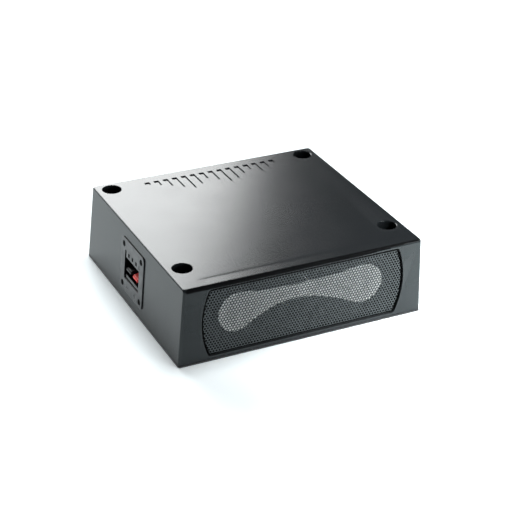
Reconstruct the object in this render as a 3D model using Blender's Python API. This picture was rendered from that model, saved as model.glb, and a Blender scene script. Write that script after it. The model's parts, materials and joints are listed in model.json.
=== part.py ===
"""Compact powered car subwoofer: drafted cabinet, front-firing racetrack woofer behind a bowed grille, push terminal
on the left wall, amplifier and recessed control panel at the back. Front face at -Y, +Z up, base on Z = 0."""

import math

import bmesh
import bpy
from mathutils import Matrix, Vector

MM = 0.001

# Cabinet, millimetres
WIDTH, DEPTH, HEIGHT = 257.0, 233.5, 80.0
DRAFT = 5.1  # how far the top edge sits inside the bottom edge on the left, right and back
WALL = 3.0
BASE_T = 2.0
GAP = 0.3
HX, HY = WIDTH / 2, DEPTH / 2
SLOPE = DRAFT / HEIGHT
TILT = math.atan(SLOPE)
SHELL_Z0 = BASE_T + GAP
CEILING = HEIGHT - WALL
FRONT_EDGE_R, SIDE_EDGE_R = 3.0, 1.5

# Corner bores for the mounting bolts
BORE_X = 107.9
BORE_Y = (-77.6, 97.9)
BORE_R, BORE_FLOOR, BOLT_R = 9.25, 8.0, 4.25
PILLAR = 12.0
BASE_SCREWS = ((-100.5, -85.1), (100.5, -85.1), (-100.5, 90.2), (100.5, 90.2))

# Front opening and grille
OPEN_MID, OPEN_CORNER = 105.6, 98.2  # half widths at mid height and at the top and bottom
OPEN_Z0, OPEN_Z1, OPEN_R = 5.4, 75.6, 3.6

# Woofer: depths count back from the front face
WOOFER_Z = 41.0
RACE_C = 65.0  # half length of the straight side of every racetrack
CONE_H, NECK_R = 24.0, 16.0
RIM_D, NECK_D, CONE_T = 7.6, 21.0, 1.2
LOBE_X, LOBE_R, WAIST, WAIST_R = 65.4, 20.6, 7.6, 150.2
FRAME_D0, FRAME_D1, FRAME_W, FRAME_H = 6.5, 9.0, 232.0, 70.0
WOOFER_SCREW_X, WOOFER_SCREW_Z = 112.0, 26.0

# Push terminal, in the left wall's own frame
TERM_Y, TERM_Z = -0.8, 39.8
PLATE, PLATE_R, PLATE_TOP = 55.0, 4.1, 1.1
TERM_SCREW = 21.2
MOUTH_W, SILL_Z = 17.6, -0.2
LEVER_AXIS = (0.0, -11.0)
LEVER_IN, LEVER_W, BLADE_T = 2.9, 10.5, 5.6

# Control panel, in the back wall's own frame
REAR_Z = 40.0
PANEL_OUT, PANEL_IN = -3.3, -5.3
KNOBS = {"gain": 46.0, "crossover": 64.0}
JACKS = {"left": 2.0, "right": 18.0}
REAR_SCREWS = ((-79.0, 20.0), (79.0, 20.0), (-79.0, -20.0), (79.0, -20.0))

for old in list(bpy.data.objects):
    bpy.data.objects.remove(old, do_unlink=True)


def frame_of(right, up, out, origin):
    """Matrix from a wall's own frame to the world, both in millimetres."""
    columns = Matrix((right, up, out)).transposed().to_4x4()
    return Matrix.Translation(origin) @ columns


SIN, COS = math.sin(TILT), math.cos(TILT)
WORLD = Matrix.Identity(4)
LEFT = frame_of((0, -1, 0), (SIN, 0, COS), (-COS, 0, SIN), (-HX + SLOPE * TERM_Z, TERM_Y, TERM_Z))
REAR = frame_of((-1, 0, 0), (0, -SIN, COS), (0, COS, SIN), (0, HY - SLOPE * REAR_Z, REAR_Z))
# x to the right, y up from the woofer's centre line, z back from the front face
FRONT = frame_of((1, 0, 0), (0, 0, 1), (0, 1, 0), (0, -HY, WOOFER_Z))

MATERIALS = {}


def material(name, colour, metallic=0.0, roughness=0.5):
    made = bpy.data.materials.new(name)
    made.use_nodes = True
    shader = made.node_tree.nodes["Principled BSDF"]
    shader.inputs["Base Color"].default_value = (*colour, 1.0)
    shader.inputs["Metallic"].default_value = metallic
    shader.inputs["Roughness"].default_value = roughness
    made.diffuse_color = (*colour, 1.0)
    MATERIALS[name] = made


material("cabinet_paint", (0.16, 0.17, 0.175), 0.4, 0.38)
material("base_paint", (0.05, 0.05, 0.055), 0.3, 0.5)
material("grille_paint", (0.12, 0.125, 0.13), 0.3, 0.45)
material("foam_black", (0.02, 0.02, 0.02), 0.0, 0.9)
material("rubber_black", (0.025, 0.025, 0.025), 0.0, 0.7)
material("basket_black", (0.03, 0.03, 0.032), 0.2, 0.5)
material("cone_black", (0.02, 0.02, 0.022), 0.0, 0.6)
material("cone_pale", (0.85, 0.85, 0.83), 0.0, 0.4)
material("spider_cloth", (0.55, 0.42, 0.2), 0.0, 0.9)
material("former_alloy", (0.75, 0.75, 0.76), 1.0, 0.35)
material("copper", (0.72, 0.38, 0.2), 1.0, 0.35)
material("steel_zinc", (0.6, 0.6, 0.6), 1.0, 0.35)
material("ferrite", (0.07, 0.07, 0.075), 0.0, 0.75)
material("screw_black", (0.02, 0.02, 0.02), 0.6, 0.4)
material("plate_grey", (0.15, 0.16, 0.165), 0.1, 0.45)
material("lever_black", (0.02, 0.02, 0.02), 0.0, 0.3)
material("lever_red", (0.75, 0.05, 0.04), 0.0, 0.3)
material("brass", (0.75, 0.55, 0.25), 1.0, 0.3)
material("panel_black", (0.03, 0.03, 0.03), 0.4, 0.45)
material("plastic_black", (0.02, 0.02, 0.02), 0.0, 0.5)
material("fuse_amber", (0.85, 0.45, 0.05), 0.0, 0.25)
material("led_blue", (0.1, 0.3, 0.9), 0.0, 0.2)
material("board_green", (0.02, 0.18, 0.07), 0.0, 0.4)
material("alloy", (0.7, 0.7, 0.72), 1.0, 0.4)
material("can_sleeve", (0.03, 0.04, 0.08), 0.0, 0.35)


# Outlines and closed meshes, each as (points, faces) in millimetres


def rounded(x0, x1, y0, y1, r, steps=3):
    """Rounded rectangle, counter-clockwise."""
    points = []
    for cx, cy, start in ((x1 - r, y0 + r, -90), (x1 - r, y1 - r, 0), (x0 + r, y1 - r, 90), (x0 + r, y0 + r, 180)):
        for k in range(steps + 1):
            a = math.radians(start + 90 * k / steps)
            points.append((cx + r * math.cos(a), cy + r * math.sin(a)))
    return points


def racetrack(h, c=RACE_C, steps=9):
    points = []
    for side, start in ((1, -90), (-1, 90)):
        for k in range(steps + 1):
            a = math.radians(start + 180 * k / steps)
            points.append((side * c + h * math.cos(a), h * math.sin(a)))
    return points


def bowed(mid, corner, z0, z1, r, steps=5):
    """The grille opening's outline: flat top and bottom, bowed ends, rounded corners. In x and z."""
    zc, half, bow = (z0 + z1) / 2, (z1 - z0) / 2, mid - corner
    zp = z1 - r
    for _ in range(8):
        lean = 2 * bow * (zp - zc) / half**2
        n = math.hypot(lean, 1)
        zp = z1 - r * (1 - lean / n)
    lean = 2 * bow * (zp - zc) / half**2
    n = math.hypot(lean, 1)
    quarter = []
    for k in range(steps):
        z = (zp - zc) * k / steps
        quarter.append((mid - bow * (z / half) ** 2, z))
    xp = mid - bow * ((zp - zc) / half) ** 2
    cx, cz = xp - r / n, zp - zc - r * lean / n
    a0 = math.atan2(lean, 1)
    for k in range(4):
        a = a0 + (math.pi / 2 - a0) * k / 3
        quarter.append((cx + r * math.cos(a), cz + r * math.sin(a)))
    right = [(x, -z) for x, z in quarter[:0:-1]] + quarter
    whole = right + [(-x, z) for x, z in reversed(right)]
    return [(x, z + zc) for x, z in whole]


def loft(rings, caps=True):
    """Rings of equal count joined in order: capped at both ends, or closed on themselves."""
    n = len(rings[0])
    points = [p for ring in rings for p in ring]
    faces = []
    for i in range(len(rings) if not caps else len(rings) - 1):
        a, b = i * n, ((i + 1) % len(rings)) * n
        faces += [(a + k, a + (k + 1) % n, b + (k + 1) % n, b + k) for k in range(n)]
    if caps:
        faces.append(tuple(reversed(range(n))))
        faces.append(tuple(range(len(points) - n, len(points))))
    return points, faces


def prism(outline, lo, hi):
    return loft([[(x, y, lo) for x, y in outline], [(x, y, hi) for x, y in outline]])


def turned(mesh, order):
    """The same mesh with its coordinates reordered, so that a prism can run along another axis."""
    points, faces = mesh
    return [tuple(p["xyz".index(k)] for k in order) for p in points], faces


def block(lo, hi):
    return prism([(lo[0], lo[1]), (hi[0], lo[1]), (hi[0], hi[1]), (lo[0], hi[1])], lo[2], hi[2])


def lathe(profile, n=24, at=(0, 0)):
    """A closed profile of (radius, z) turned about z. Points on the axis become one point."""
    points, where = [], []
    for r, z in profile:
        if r == 0:
            where.append([len(points)] * n)
            points.append((at[0], at[1], z))
            continue
        where.append(list(range(len(points), len(points) + n)))
        for k in range(n):
            a = 2 * math.pi * k / n
            points.append((at[0] + r * math.cos(a), at[1] + r * math.sin(a), z))
    faces = []
    for i, low in enumerate(where):
        high = where[(i + 1) % len(where)]
        for k in range(n):
            m = (k + 1) % n
            ring = list(dict.fromkeys((low[k], low[m], high[m], high[k])))
            if len(ring) > 2:
                faces.append(tuple(ring))
    return points, faces


def rod(x, y, r, lo, hi, n=16):
    return lathe([(0, lo), (r, lo), (r, hi), (0, hi)], n, (x, y))


def swept(path, r, n=5):
    """A wire of radius r along a path."""
    rings = []
    side = None
    for i, p in enumerate(path):
        ahead = Vector(path[min(i + 1, len(path) - 1)]) - Vector(path[max(i - 1, 0)])
        ahead.normalize()
        side = ahead.orthogonal() if side is None else side - ahead * side.dot(ahead)
        side.normalize()
        other = ahead.cross(side)
        ring = []
        for k in range(n):
            a = 2 * math.pi * k / n
            ring.append(tuple(Vector(p) + side * (r * math.cos(a)) + other * (r * math.sin(a))))
        rings.append(ring)
    return loft(rings)


def joined(*meshes):
    points, faces = [], []
    for some, these in meshes:
        faces += [tuple(i + len(points) for i in face) for face in these]
        points += some
    return points, faces


def solid(name, mesh, slot, frame=WORLD, origin=None):
    """A node. Its origin is the given point of its own frame, or the world's origin."""
    points, faces = mesh
    centre = Vector((0, 0, 0)) if origin is None else frame @ Vector(origin)
    data = bpy.data.meshes.new(name)
    data.from_pydata([((frame @ Vector(p)) - centre) * MM for p in points], [], faces)
    shape = bmesh.new()
    shape.from_mesh(data)
    bmesh.ops.recalc_face_normals(shape, faces=shape.faces)
    shape.to_mesh(data)
    shape.free()
    made = bpy.data.objects.new(name, data)
    made.location = centre * MM
    bpy.context.collection.objects.link(made)
    if slot:
        data.materials.append(MATERIALS[slot])
    return made


def apply_tool(node, name, mesh, frame=WORLD, operation="DIFFERENCE"):
    tool = solid(f"{node.name}_{name}", mesh, None, frame)
    tool.hide_render = True
    tool.display_type = "WIRE"
    step = node.modifiers.new(name, "BOOLEAN")
    step.operation = operation
    step.solver = "EXACT"
    step.object = tool


def screw(name, x, y, top, length, head_r, shank_r, frame, slot="screw_black", head_h=1.2, n=8):
    """A socket-head screw pointing down its frame's -z, with the head's top at z = top."""
    socket = head_r * 0.45
    profile = [
        (0, top - head_h * 0.6),
        (socket, top - head_h * 0.6),
        (socket, top),
        (head_r * 0.85, top),
        (head_r, top - head_h * 0.35),
        (head_r, top - head_h),
        (shank_r, top - head_h),
        (shank_r, top - length),
        (0, top - length),
    ]
    return solid(name, lathe(profile, n, (x, y)), slot, frame)


# Cabinet


def edge_inset(z, r):
    drop = r - (HEIGHT - z)
    return r - math.sqrt(max(r * r - drop * drop, 0.0)) if drop > 0 else 0.0


def cabinet_ring(z):
    side = SLOPE * z + edge_inset(z, SIDE_EDGE_R)
    outline = rounded(-HX + side, HX - side, -HY + edge_inset(z, FRONT_EDGE_R), HY - side, 2.5, 4)
    return [(x, y, z) for x, y in outline]


outer = [cabinet_ring(z) for z in (SHELL_Z0, 77.0, 77.8, 78.5, 79.2, 79.6, 79.9, HEIGHT)]
shell = solid("cabinet_shell", loft(outer), "cabinet_paint")


def cavity_ring(z):
    side = SLOPE * z + WALL
    w, front, back = HX - side, -HY + WALL, HY - side
    inner = BORE_X - PILLAR
    y0, y1, y2 = BORE_Y[0] - PILLAR, BORE_Y[0] + PILLAR, BORE_Y[1] - PILLAR
    right = [(w, front), (w, y0), (inner, y0), (inner, y1), (w, y1), (w, y2), (inner, y2), (inner, back)]
    return [(x, y, z) for x, y in right + [(-x, y) for x, y in reversed(right)]]


apply_tool(shell, "cavity", loft([cavity_ring(-1.0), cavity_ring(CEILING)]))
woofer_screws = [(sx * WOOFER_SCREW_X, sz * WOOFER_SCREW_Z) for sx in (-1, 1) for sz in (-1, 1)]
bosses = joined(*[rod(x, z, 3.5, 1.5, FRAME_D0 - GAP, 12) for x, z in woofer_screws])
apply_tool(shell, "bosses", bosses, FRONT, "UNION")
boss_holes = joined(*[rod(x, z, 1.5, 1.4, FRAME_D0 + 1, 8) for x, z in woofer_screws])
apply_tool(shell, "boss_holes", boss_holes, FRONT)
bore_places = [(sx * BORE_X, y) for sx in (-1, 1) for y in BORE_Y]
apply_tool(shell, "bores", joined(*[rod(x, y, BORE_R, BORE_FLOOR, HEIGHT + 5, 24) for x, y in bore_places]))
bolt_holes = [rod(x, y, BOLT_R, -5, BORE_FLOOR + 1, 12) for x, y in bore_places]
base_holes = [rod(x, y, 1.5, -5, 7.0, 8) for x, y in BASE_SCREWS]
apply_tool(shell, "floor_holes", joined(*bolt_holes, *base_holes))
front_outline = bowed(OPEN_MID, OPEN_CORNER, OPEN_Z0, OPEN_Z1, OPEN_R)
apply_tool(shell, "front_opening", turned(prism(front_outline, -HY - 5, -HY + WALL + 0.4), "xzy"))
wall_cut = prism(rounded(-20.3, 20.3, -17.7, 17.7, 1.5), -8, 6)
wall_screws = [rod(sx * TERM_SCREW, sy * TERM_SCREW, 1.7, -8, 6, 8) for sx in (-1, 1) for sy in (-1, 1)]
apply_tool(shell, "terminal_opening", joined(wall_cut, *wall_screws), LEFT)
rear_cut = prism(rounded(-75, 75, -25, 25, 4), -8, 6)
rear_holes = [
    lathe([(0, -8), (1.7, -8), (1.7, -1.7), (3.3, -1.7), (3.3, 6), (0, 6)], 8, place) for place in REAR_SCREWS
]
apply_tool(shell, "rear_opening", joined(rear_cut, *rear_holes), REAR)

base = solid("base_plate", prism(rounded(-HX, HX, -HY, HY, 2.5, 4), 0, BASE_T), "base_paint")
counterbores = [lathe([(0, -5), (3.3, -5), (3.3, 1.4), (1.5, 1.4), (1.5, 5), (0, 5)], 8, at) for at in BASE_SCREWS]
apply_tool(base, "holes", joined(*[rod(x, y, BOLT_R, -5, 5, 12) for x, y in bore_places], *counterbores))
UNDER = frame_of((1, 0, 0), (0, -1, 0), (0, 0, -1), (0, 0, 0))
for number, (x, y) in enumerate(BASE_SCREWS, 1):
    screw(f"base_screw_{number}", x, -y, -0.1, 6.4, 3.0, 1.2, UNDER, "steel_zinc", 1.0)


# Grille: a pan whose face sits just inside the opening, with a flange behind the wall


def grille_ring(inset, depth, side=0.0):
    outline = bowed(
        OPEN_MID - inset + side,
        OPEN_CORNER - inset + side,
        OPEN_Z0 + inset,
        OPEN_Z1 - inset,
        max(OPEN_R - inset, 0.8),
    )
    return [(x, -HY + depth, z) for x, z in outline]


solid(
    "front_grille",
    loft(
        [
            grille_ring(0.4, 1.2),
            grille_ring(0.4, 3.3),
            grille_ring(-1.1, 3.3, 1.3),
            grille_ring(-1.1, 4.3, 1.3),
            grille_ring(1.5, 4.3),
            grille_ring(1.5, 2.2),
        ]
    ),
    "grille_paint",
)
gasket = solid("grille_gasket", prism(rounded(-107.8, 107.8, -35, 35, 3), 4.6, 6.2), "foam_black", FRONT)
apply_tool(gasket, "window", prism(racetrack(33.5), 2, 9), FRONT)


# Woofer


frame = solid(
    "woofer_frame",
    prism(rounded(-FRAME_W / 2, FRAME_W / 2, -FRAME_H / 2, FRAME_H / 2, 4), FRAME_D0, FRAME_D1),
    "basket_black",
    FRONT,
)


def race_ring(h, d, c=RACE_C, steps=9):
    return [(x, y, d) for x, y in racetrack(h, c, steps)]


basket = loft(
    [
        race_ring(34.0, 7.5, 66.0),
        race_ring(34.0, 15.0, 66.0),
        race_ring(34.0, 33.7, 0.5),
        race_ring(20.0, 33.7, 0.5),
        race_ring(20.0, 31.2, 0.5),
        race_ring(31.8, 31.2, 0.5),
        race_ring(31.8, 14.6, 66.0),
        race_ring(31.8, 7.5, 66.0),
    ],
    caps=False,
)
apply_tool(frame, "basket", basket, FRONT, "UNION")
windows = [block((sx * 62 - 18, -17, 12), (sx * 62 + 18, 17, 26)) for sx in (-1, 1)]
holes = [rod(x, z, 1.5, 2, 12, 8) for x, z in woofer_screws]
apply_tool(frame, "mouth", joined(prism(racetrack(31.0), 2, 9.6), *holes), FRONT)
apply_tool(frame, "windows", joined(*windows), FRONT)
BACKWARD = frame_of((-1, 0, 0), (0, 0, 1), (0, 1, 0), (0, -HY, WOOFER_Z))
for number, (x, z) in enumerate(woofer_screws, 1):
    screw(f"woofer_screw_{number}", -x, z, 11.1, 9.0, 2.8, 1.2, BACKWARD, "steel_zinc", 1.8)

ROLL = (
    ((22.6, 6.5), (25.0, 6.5), (26.0, 9.2), (27.7, 10.1), (29.3, 9.0), (30.2, 5.4), (33.2, 5.4))
    + ((33.2, 6.2), (30.7, 6.2), (29.8, 9.8), (27.7, 11.0), (25.4, 9.8), (24.5, 7.3))
    + ((22.6, 7.3),)
)
solid("woofer_surround", loft([race_ring(h, d) for h, d in ROLL], caps=False), "rubber_black", FRONT)


def cone_depth(s):
    """Depth of the diaphragm's front face: s is 1 at the rim and 0 at the neck."""
    return RIM_D + (NECK_D - RIM_D) * (1 - s) ** 1.2


def cone_ring(s, behind=0.0):
    return race_ring(NECK_R + (CONE_H - NECK_R) * s, cone_depth(s) + behind, 0.5 + (RACE_C - 0.5) * s)


def cone_place(x, z):
    """s of the diaphragm at a point, found by halving."""
    low, high = 0.0, 1.0
    for _ in range(30):
        s = (low + high) / 2
        c, h = 0.5 + (RACE_C - 0.5) * s, NECK_R + (CONE_H - NECK_R) * s
        inside = math.hypot(max(abs(x) - c, 0), z) < h
        low, high = (low, s) if inside else (s, high)
    return (low + high) / 2


CENTRE = (0, 0, NECK_D)
stations = (1.0, 0.8, 0.6, 0.4, 0.2, 0.0)
solid(
    "woofer_diaphragm",
    loft([cone_ring(s) for s in stations] + [cone_ring(s, CONE_T) for s in reversed(stations)], caps=False),
    "cone_black",
    FRONT,
    CENTRE,
)


def lobe_half_height(x):
    """Half height of the pale skin: two round lobes joined by arcs that narrow to a waist."""
    x = abs(x)
    if x > LOBE_X * WAIST_R / (WAIST_R + LOBE_R):
        return math.sqrt(max(LOBE_R**2 - (x - LOBE_X) ** 2, 0))
    return WAIST + WAIST_R - math.sqrt(WAIST_R**2 - x**2)


def skin_mesh(columns=25, rows=5):
    reach = LOBE_X + LOBE_R - 0.15
    grids = []
    for lift in (0.9, 0.3):
        grid = []
        for i in range(columns):
            x = -reach * math.cos(math.pi * i / (columns - 1))
            half = lobe_half_height(x)
            for j in range(rows):
                z = half * (2 * j / (rows - 1) - 1)
                grid.append((x, z, cone_depth(cone_place(x, z)) - lift))
        grids += grid
    top = columns * rows
    faces = []
    for i in range(columns - 1):
        for j in range(rows - 1):
            a = i * rows + j
            faces.append((a, a + rows, a + rows + 1, a + 1))
            faces.append((top + a + 1, top + a + rows + 1, top + a + rows, top + a))
    edge = [i * rows for i in range(columns)]
    edge += [(columns - 1) * rows + j for j in range(1, rows)]
    edge += [i * rows + rows - 1 for i in range(columns - 2, -1, -1)]
    edge += [j for j in range(rows - 2, 0, -1)]
    for k, a in enumerate(edge):
        b = edge[(k + 1) % len(edge)]
        faces.append((a, top + a, top + b, b))
    return grids, faces


solid("diaphragm_skin", skin_mesh(), "cone_pale", FRONT, CENTRE)
solid("dust_cap", lathe([(0, 21.0), (15.6, 21.0), (15.6, 22.0), (0, 22.0)], 24), "cone_black", FRONT, CENTRE)
corrugation = [(18.0 + 2.2 * k, 28.4 + 0.9 * (-1) ** k) for k in range(5)]
spider = [(16.3, 28.9)] + corrugation + [(27.6, 30.1), (31.2, 30.1)]
spider += [(31.2, 30.9), (27.3, 30.9)] + [(r, d + 0.7) for r, d in reversed(corrugation)] + [(16.3, 29.6)]
solid("woofer_spider", lathe(spider, 24), "spider_cloth", FRONT)
solid("coil_former", lathe([(15.2, 22.5), (16.0, 22.5), (16.0, 44.5), (15.2, 44.5)], 24), "former_alloy", FRONT, CENTRE)
solid("voice_coil", lathe([(16.3, 34.5), (17.8, 34.5), (17.8, 44.4), (16.3, 44.4)], 24), "copper", FRONT, CENTRE)
solid("motor_top_plate", lathe([(18.4, 34), (30, 34), (30, 39), (18.4, 39)], 24), "steel_zinc", FRONT)
magnet = [(20, 39.3), (30, 39.3), (31, 40.3), (31, 50.3), (30, 51.3), (20, 51.3)]
solid("ring_magnet", lathe(magnet, 24), "ferrite", FRONT)
yoke = [(5, 34), (14.6, 34), (14.6, 51.6), (29, 51.6), (30, 52.6), (30, 57), (5, 57)]
solid("motor_yoke", lathe(yoke, 24), "steel_zinc", FRONT)
strip = joined(block((101.0, -9, 9.3), (108.0, 9, 11.3)))
lead_strip = solid("lead_strip", strip, "board_green", FRONT)
tabs = joined(*[block((103.7, y - 2.4, 10.6), (104.5, y + 2.4, 17.5)) for y in (-4.5, 4.5)])
apply_tool(lead_strip, "tabs", tabs, FRONT, "UNION")


# Push terminal

cup = solid("terminal_cup", prism(rounded(*([-PLATE / 2, PLATE / 2] * 2), PLATE_R, 4), GAP, PLATE_TOP), "plate_grey", LEFT)
apply_tool(cup, "body", prism(rounded(-20, 20, -17.3, 17.3, 1.2, 2), -16, 0.9), LEFT, "UNION")
mouth = [(9.6, 4), (9.6, -14.5), (-9.6, -14.5), (-9.6, SILL_Z), (-13.9, SILL_Z), (-13.9, 4)]
apply_tool(cup, "mouth", turned(prism(mouth, -MOUTH_W, MOUTH_W), "zxy"), LEFT)
groove = [(-MOUTH_W, -13.9), (MOUTH_W, -13.9), (MOUTH_W, -8.0), (16.0, -8.0), (16.0, -12.7)]
groove += [(-16.0, -12.7), (-16.0, -8.0), (-MOUTH_W, -8.0)]
apply_tool(cup, "groove", prism(groove, -5.0, 3.0), LEFT)
comb = [block((t - 1.3, 12.0, -6.0), (t + 1.3, 15.6, 4)) for t in (-8.2, 0.8, 9.8)]
comb += [block((-MOUTH_W, 8.0, -6.0), (-14.5, 16.2, 4)), block((16.4, 12.0, 0.6), (18.6, 15.6, 4))]
apply_tool(cup, "comb", joined(*comb), LEFT)
seats = [
    lathe([(0, -4), (1.7, -4), (1.7, 0.45), (3.2, 0.45), (3.2, 4), (0, 4)], 14, (sx * TERM_SCREW, sy * TERM_SCREW))
    for sx in (-1, 1)
    for sy in (-1, 1)
]
axle_hole = turned(rod(*LEVER_AXIS, 1.3, -19.3, 19.3, 12), "zxy")
blade_slots = [block((t - 2.6, -7.1, -20), (t + 2.6, -5.7, -13)) for t in (-BLADE_T, BLADE_T)]
apply_tool(cup, "seats", joined(*seats), LEFT)
apply_tool(cup, "axle_hole", axle_hole, LEFT)
apply_tool(cup, "blade_slots", joined(*blade_slots), LEFT)
for number, (sx, sy) in enumerate(((-1, -1), (1, -1), (-1, 1), (1, 1)), 1):
    screw(f"terminal_screw_{number}", sx * TERM_SCREW, sy * TERM_SCREW, 1.0, 10.0, 2.9, 1.3, LEFT, head_h=0.5, n=12)
solid("terminal_axle", turned(rod(*LEVER_AXIS, 1.0, -19.0, 19.0, 12), "zxy"), "steel_zinc", LEFT)

LEVER = (
    ((-1.6, 0.3), (-2.1, 0.6), (-3.8, 0.6), (-4.4, 0.2), (-4.6, -0.6), (-2.4, -9.6), (-2.2, -11.8), (-1.2, -12.9))
    + ((0.0, -13.3), (1.2, -13.0), (2.2, -12.0), (2.3, -11.0), (-0.8, -0.4))
)
for colour, side in (("black", -1), ("red", 1)):
    lo = LEVER_IN if side > 0 else -LEVER_IN - LEVER_W
    middle = lo + LEVER_W / 2
    axis = (middle, *LEVER_AXIS)
    lever = solid(f"lever_{colour}", turned(prism(LEVER, lo, lo + LEVER_W), "zxy"), f"lever_{colour}", LEFT, axis)
    apply_tool(lever, "bore", turned(rod(*LEVER_AXIS, 1.3, lo - 3, lo + LEVER_W + 3, 12), "zxy"), LEFT)
    spring_lo = lo + LEVER_W - 5.1 if side > 0 else lo - 0.1
    apply_tool(lever, "spring_room", block((spring_lo, -9, -16), (spring_lo + 5.2, 5, -7.6)), LEFT)
    coil = [(spring_lo + 0.9, -6.8, -10.2)]
    for k in range(25):
        a = math.radians(180 + 45 * k)
        coil.append((spring_lo + 0.9 + 3.4 * k / 24, 2.0 * math.cos(a), -11 + 2.0 * math.sin(a)))
    coil.append((spring_lo + 4.3, -3.8, -8.4))
    solid(f"lever_spring_{colour}", swept(coil, 0.35), "steel_zinc", LEFT)
    blade = ((-6.8, -26), (-6.0, -26), (-6.0, -10.6), (-5.2, -9.8), (-5.8, -9.2), (-6.8, -10.2))
    blade_lo = side * BLADE_T - 2.3
    solid(f"contact_{colour}", turned(prism(blade, blade_lo, blade_lo + 4.6), "zxy"), "brass", LEFT)


# Control panel and amplifier

panel = solid("rear_panel", prism(rounded(-83, 83, -29, 29, 2), PANEL_IN, PANEL_OUT), "panel_black", REAR)
cuts = [
    block((-70.3, -8.3, -9), (-39.7, 8.3, 0)),
    block((-34.3, -9.3, -9), (-19.7, 9.3, 0)),
    block((29.7, -2.3, -9), (37.1, 2.3, 0)),
    rod(-10, 10, 1.7, -9, 0, 12),
]
cuts += [rod(t, 0, 3.4, -9, 0, 16) for t in KNOBS.values()]
cuts += [rod(t, -2, 4.6, -9, 0, 20) for t in JACKS.values()]
cuts += [rod(x, y, 1.7, -9, 0, 8) for x, y in REAR_SCREWS]
apply_tool(panel, "cuts", joined(*cuts), REAR)
for number, (x, y) in enumerate(REAR_SCREWS, 1):
    screw(f"rear_screw_{number}", x, y, -0.2, 7.0, 3.0, 1.4, REAR, head_h=1.2)

inlet = solid("power_inlet", block((-70, -8, -18), (-40, 8, -0.8)), "plastic_black", REAR)
apply_tool(inlet, "socket", block((-68, -6, -12), (-42, 6, 2)), REAR)
holder = solid("fuse_holder", block((-34, -9, -18), (-20, 9, -2.0)), "plastic_black", REAR)
apply_tool(holder, "pocket", block((-30, -7, -14), (-24, 7, 2)), REAR)
fuse = [(-6.5, -13), (-4, -13), (-4, -7), (4, -7), (4, -13), (6.5, -13), (6.5, -0.8), (-6.5, -0.8)]
solid("blade_fuse", turned(prism(fuse, -28.9, -25.1), "zxy"), "fuse_amber", REAR)
for side, t in JACKS.items():
    barrel = [(1.6, -18), (4.2, -18), (4.2, -3.0), (5.6, -3.0), (5.6, -2.2), (4.2, -2.2), (4.2, -0.7), (3.4, -0.7)]
    solid(f"line_jack_{side}", lathe(barrel + [(3.4, -6), (1.6, -6)], 16, (t, -2)), "brass", REAR)
for name, t in KNOBS.items():
    knob = [(0, -11.5), (2.8, -11.5), (2.8, -3.0), (6.0, -3.0), (6.0, -1.2), (5.4, -0.6), (0, -0.6)]
    made = solid(f"{name}_knob", lathe(knob, 20, (t, 0)), "plastic_black", REAR, (t, 0, -2))
    apply_tool(made, "pointer", block((t - 0.5, 2.0, -1.4), (t + 0.5, 8, 1)), REAR)
    pot = [(3.1, -5.6), (8.0, -5.6), (8.0, -13.0), (0, -13.0), (0, -11.9), (3.1, -11.9)]
    solid(f"{name}_pot", lathe(pot, 20, (t, 0)), "alloy", REAR)
slider = [(-3.2, -7.2), (3.2, -7.2), (3.2, -5.6), (2.0, -5.6), (2.0, -1.8), (-2.0, -1.8), (-2.0, -5.6), (-3.2, -5.6)]
slider = [(32.2 + x, z) for x, z in slider]
solid("phase_slider", turned(prism(slider, -1.6, 1.6), "xzy"), "plastic_black", REAR, (32.2, 0, -2))
solid("phase_switch_body", block((25.5, -4, -13.5), (37.9, 4, -7.5)), "alloy", REAR)
solid("power_led", lathe([(0, -9), (1.4, -9), (1.4, -3.0), (0.9, -2.5), (0, -2.3)], 12, (-10, 10)), "led_blue", REAR)

solid("circuit_board", prism(rounded(-78, 78, -27, 27, 2, 1), -20.6, -19.0), "board_green", REAR)
solid("amp_chip", block((-12, -9, -25.2), (12, 9, -20.9)), "plastic_black", REAR)
fins = [(-34, -25.5), (34, -25.5)]
for k in range(9):
    x = 34 - 8.125 * k
    fins += [(x, -40), (x - 3, -40)]
    if k < 8:
        fins += [(x - 3, -29), (x - 8.125, -29)]
solid("heat_sink", turned(prism(fins, -22, 22), "xzy"), "alloy", REAR)
ring = [(9 + 3.6 * math.cos(math.radians(a)), -24.8 + 3.6 * math.sin(math.radians(a))) for a in range(0, 360, 60)]
solid("choke_toroid", lathe(ring, 16, (55, -12)), "copper", REAR)
for number, t in enumerate((-55.0, 55.0), 1):
    y = 6.0 if t < 0 else 12.5
    can = [(0, -20.9), (7.6, -20.9), (8.0, -21.6), (8.0, -45.5), (7.4, -46.0), (0, -46.0)]
    solid(f"capacitor_{number}", lathe(can, 20, (t, y)), "can_sleeve", REAR)
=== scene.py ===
import json
import math

import bmesh
import bpy
from mathutils import Matrix, Vector


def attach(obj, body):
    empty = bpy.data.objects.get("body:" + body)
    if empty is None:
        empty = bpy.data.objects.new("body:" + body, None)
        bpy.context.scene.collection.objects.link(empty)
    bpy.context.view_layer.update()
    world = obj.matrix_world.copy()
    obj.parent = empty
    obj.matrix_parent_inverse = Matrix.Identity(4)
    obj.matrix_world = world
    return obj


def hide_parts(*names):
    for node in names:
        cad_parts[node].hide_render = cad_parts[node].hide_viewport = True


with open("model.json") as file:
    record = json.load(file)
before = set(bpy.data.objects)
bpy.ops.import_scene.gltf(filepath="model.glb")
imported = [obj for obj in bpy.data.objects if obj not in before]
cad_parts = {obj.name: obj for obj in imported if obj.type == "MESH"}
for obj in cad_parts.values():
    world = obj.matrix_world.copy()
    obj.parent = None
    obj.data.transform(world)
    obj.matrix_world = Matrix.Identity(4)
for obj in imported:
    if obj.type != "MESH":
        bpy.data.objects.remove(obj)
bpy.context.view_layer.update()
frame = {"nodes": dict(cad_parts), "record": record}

RECORD = frame["record"]
NODE_BODY = {n: body for body, names in RECORD["behaviour"]["bodies"].items() for n in names}
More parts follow.
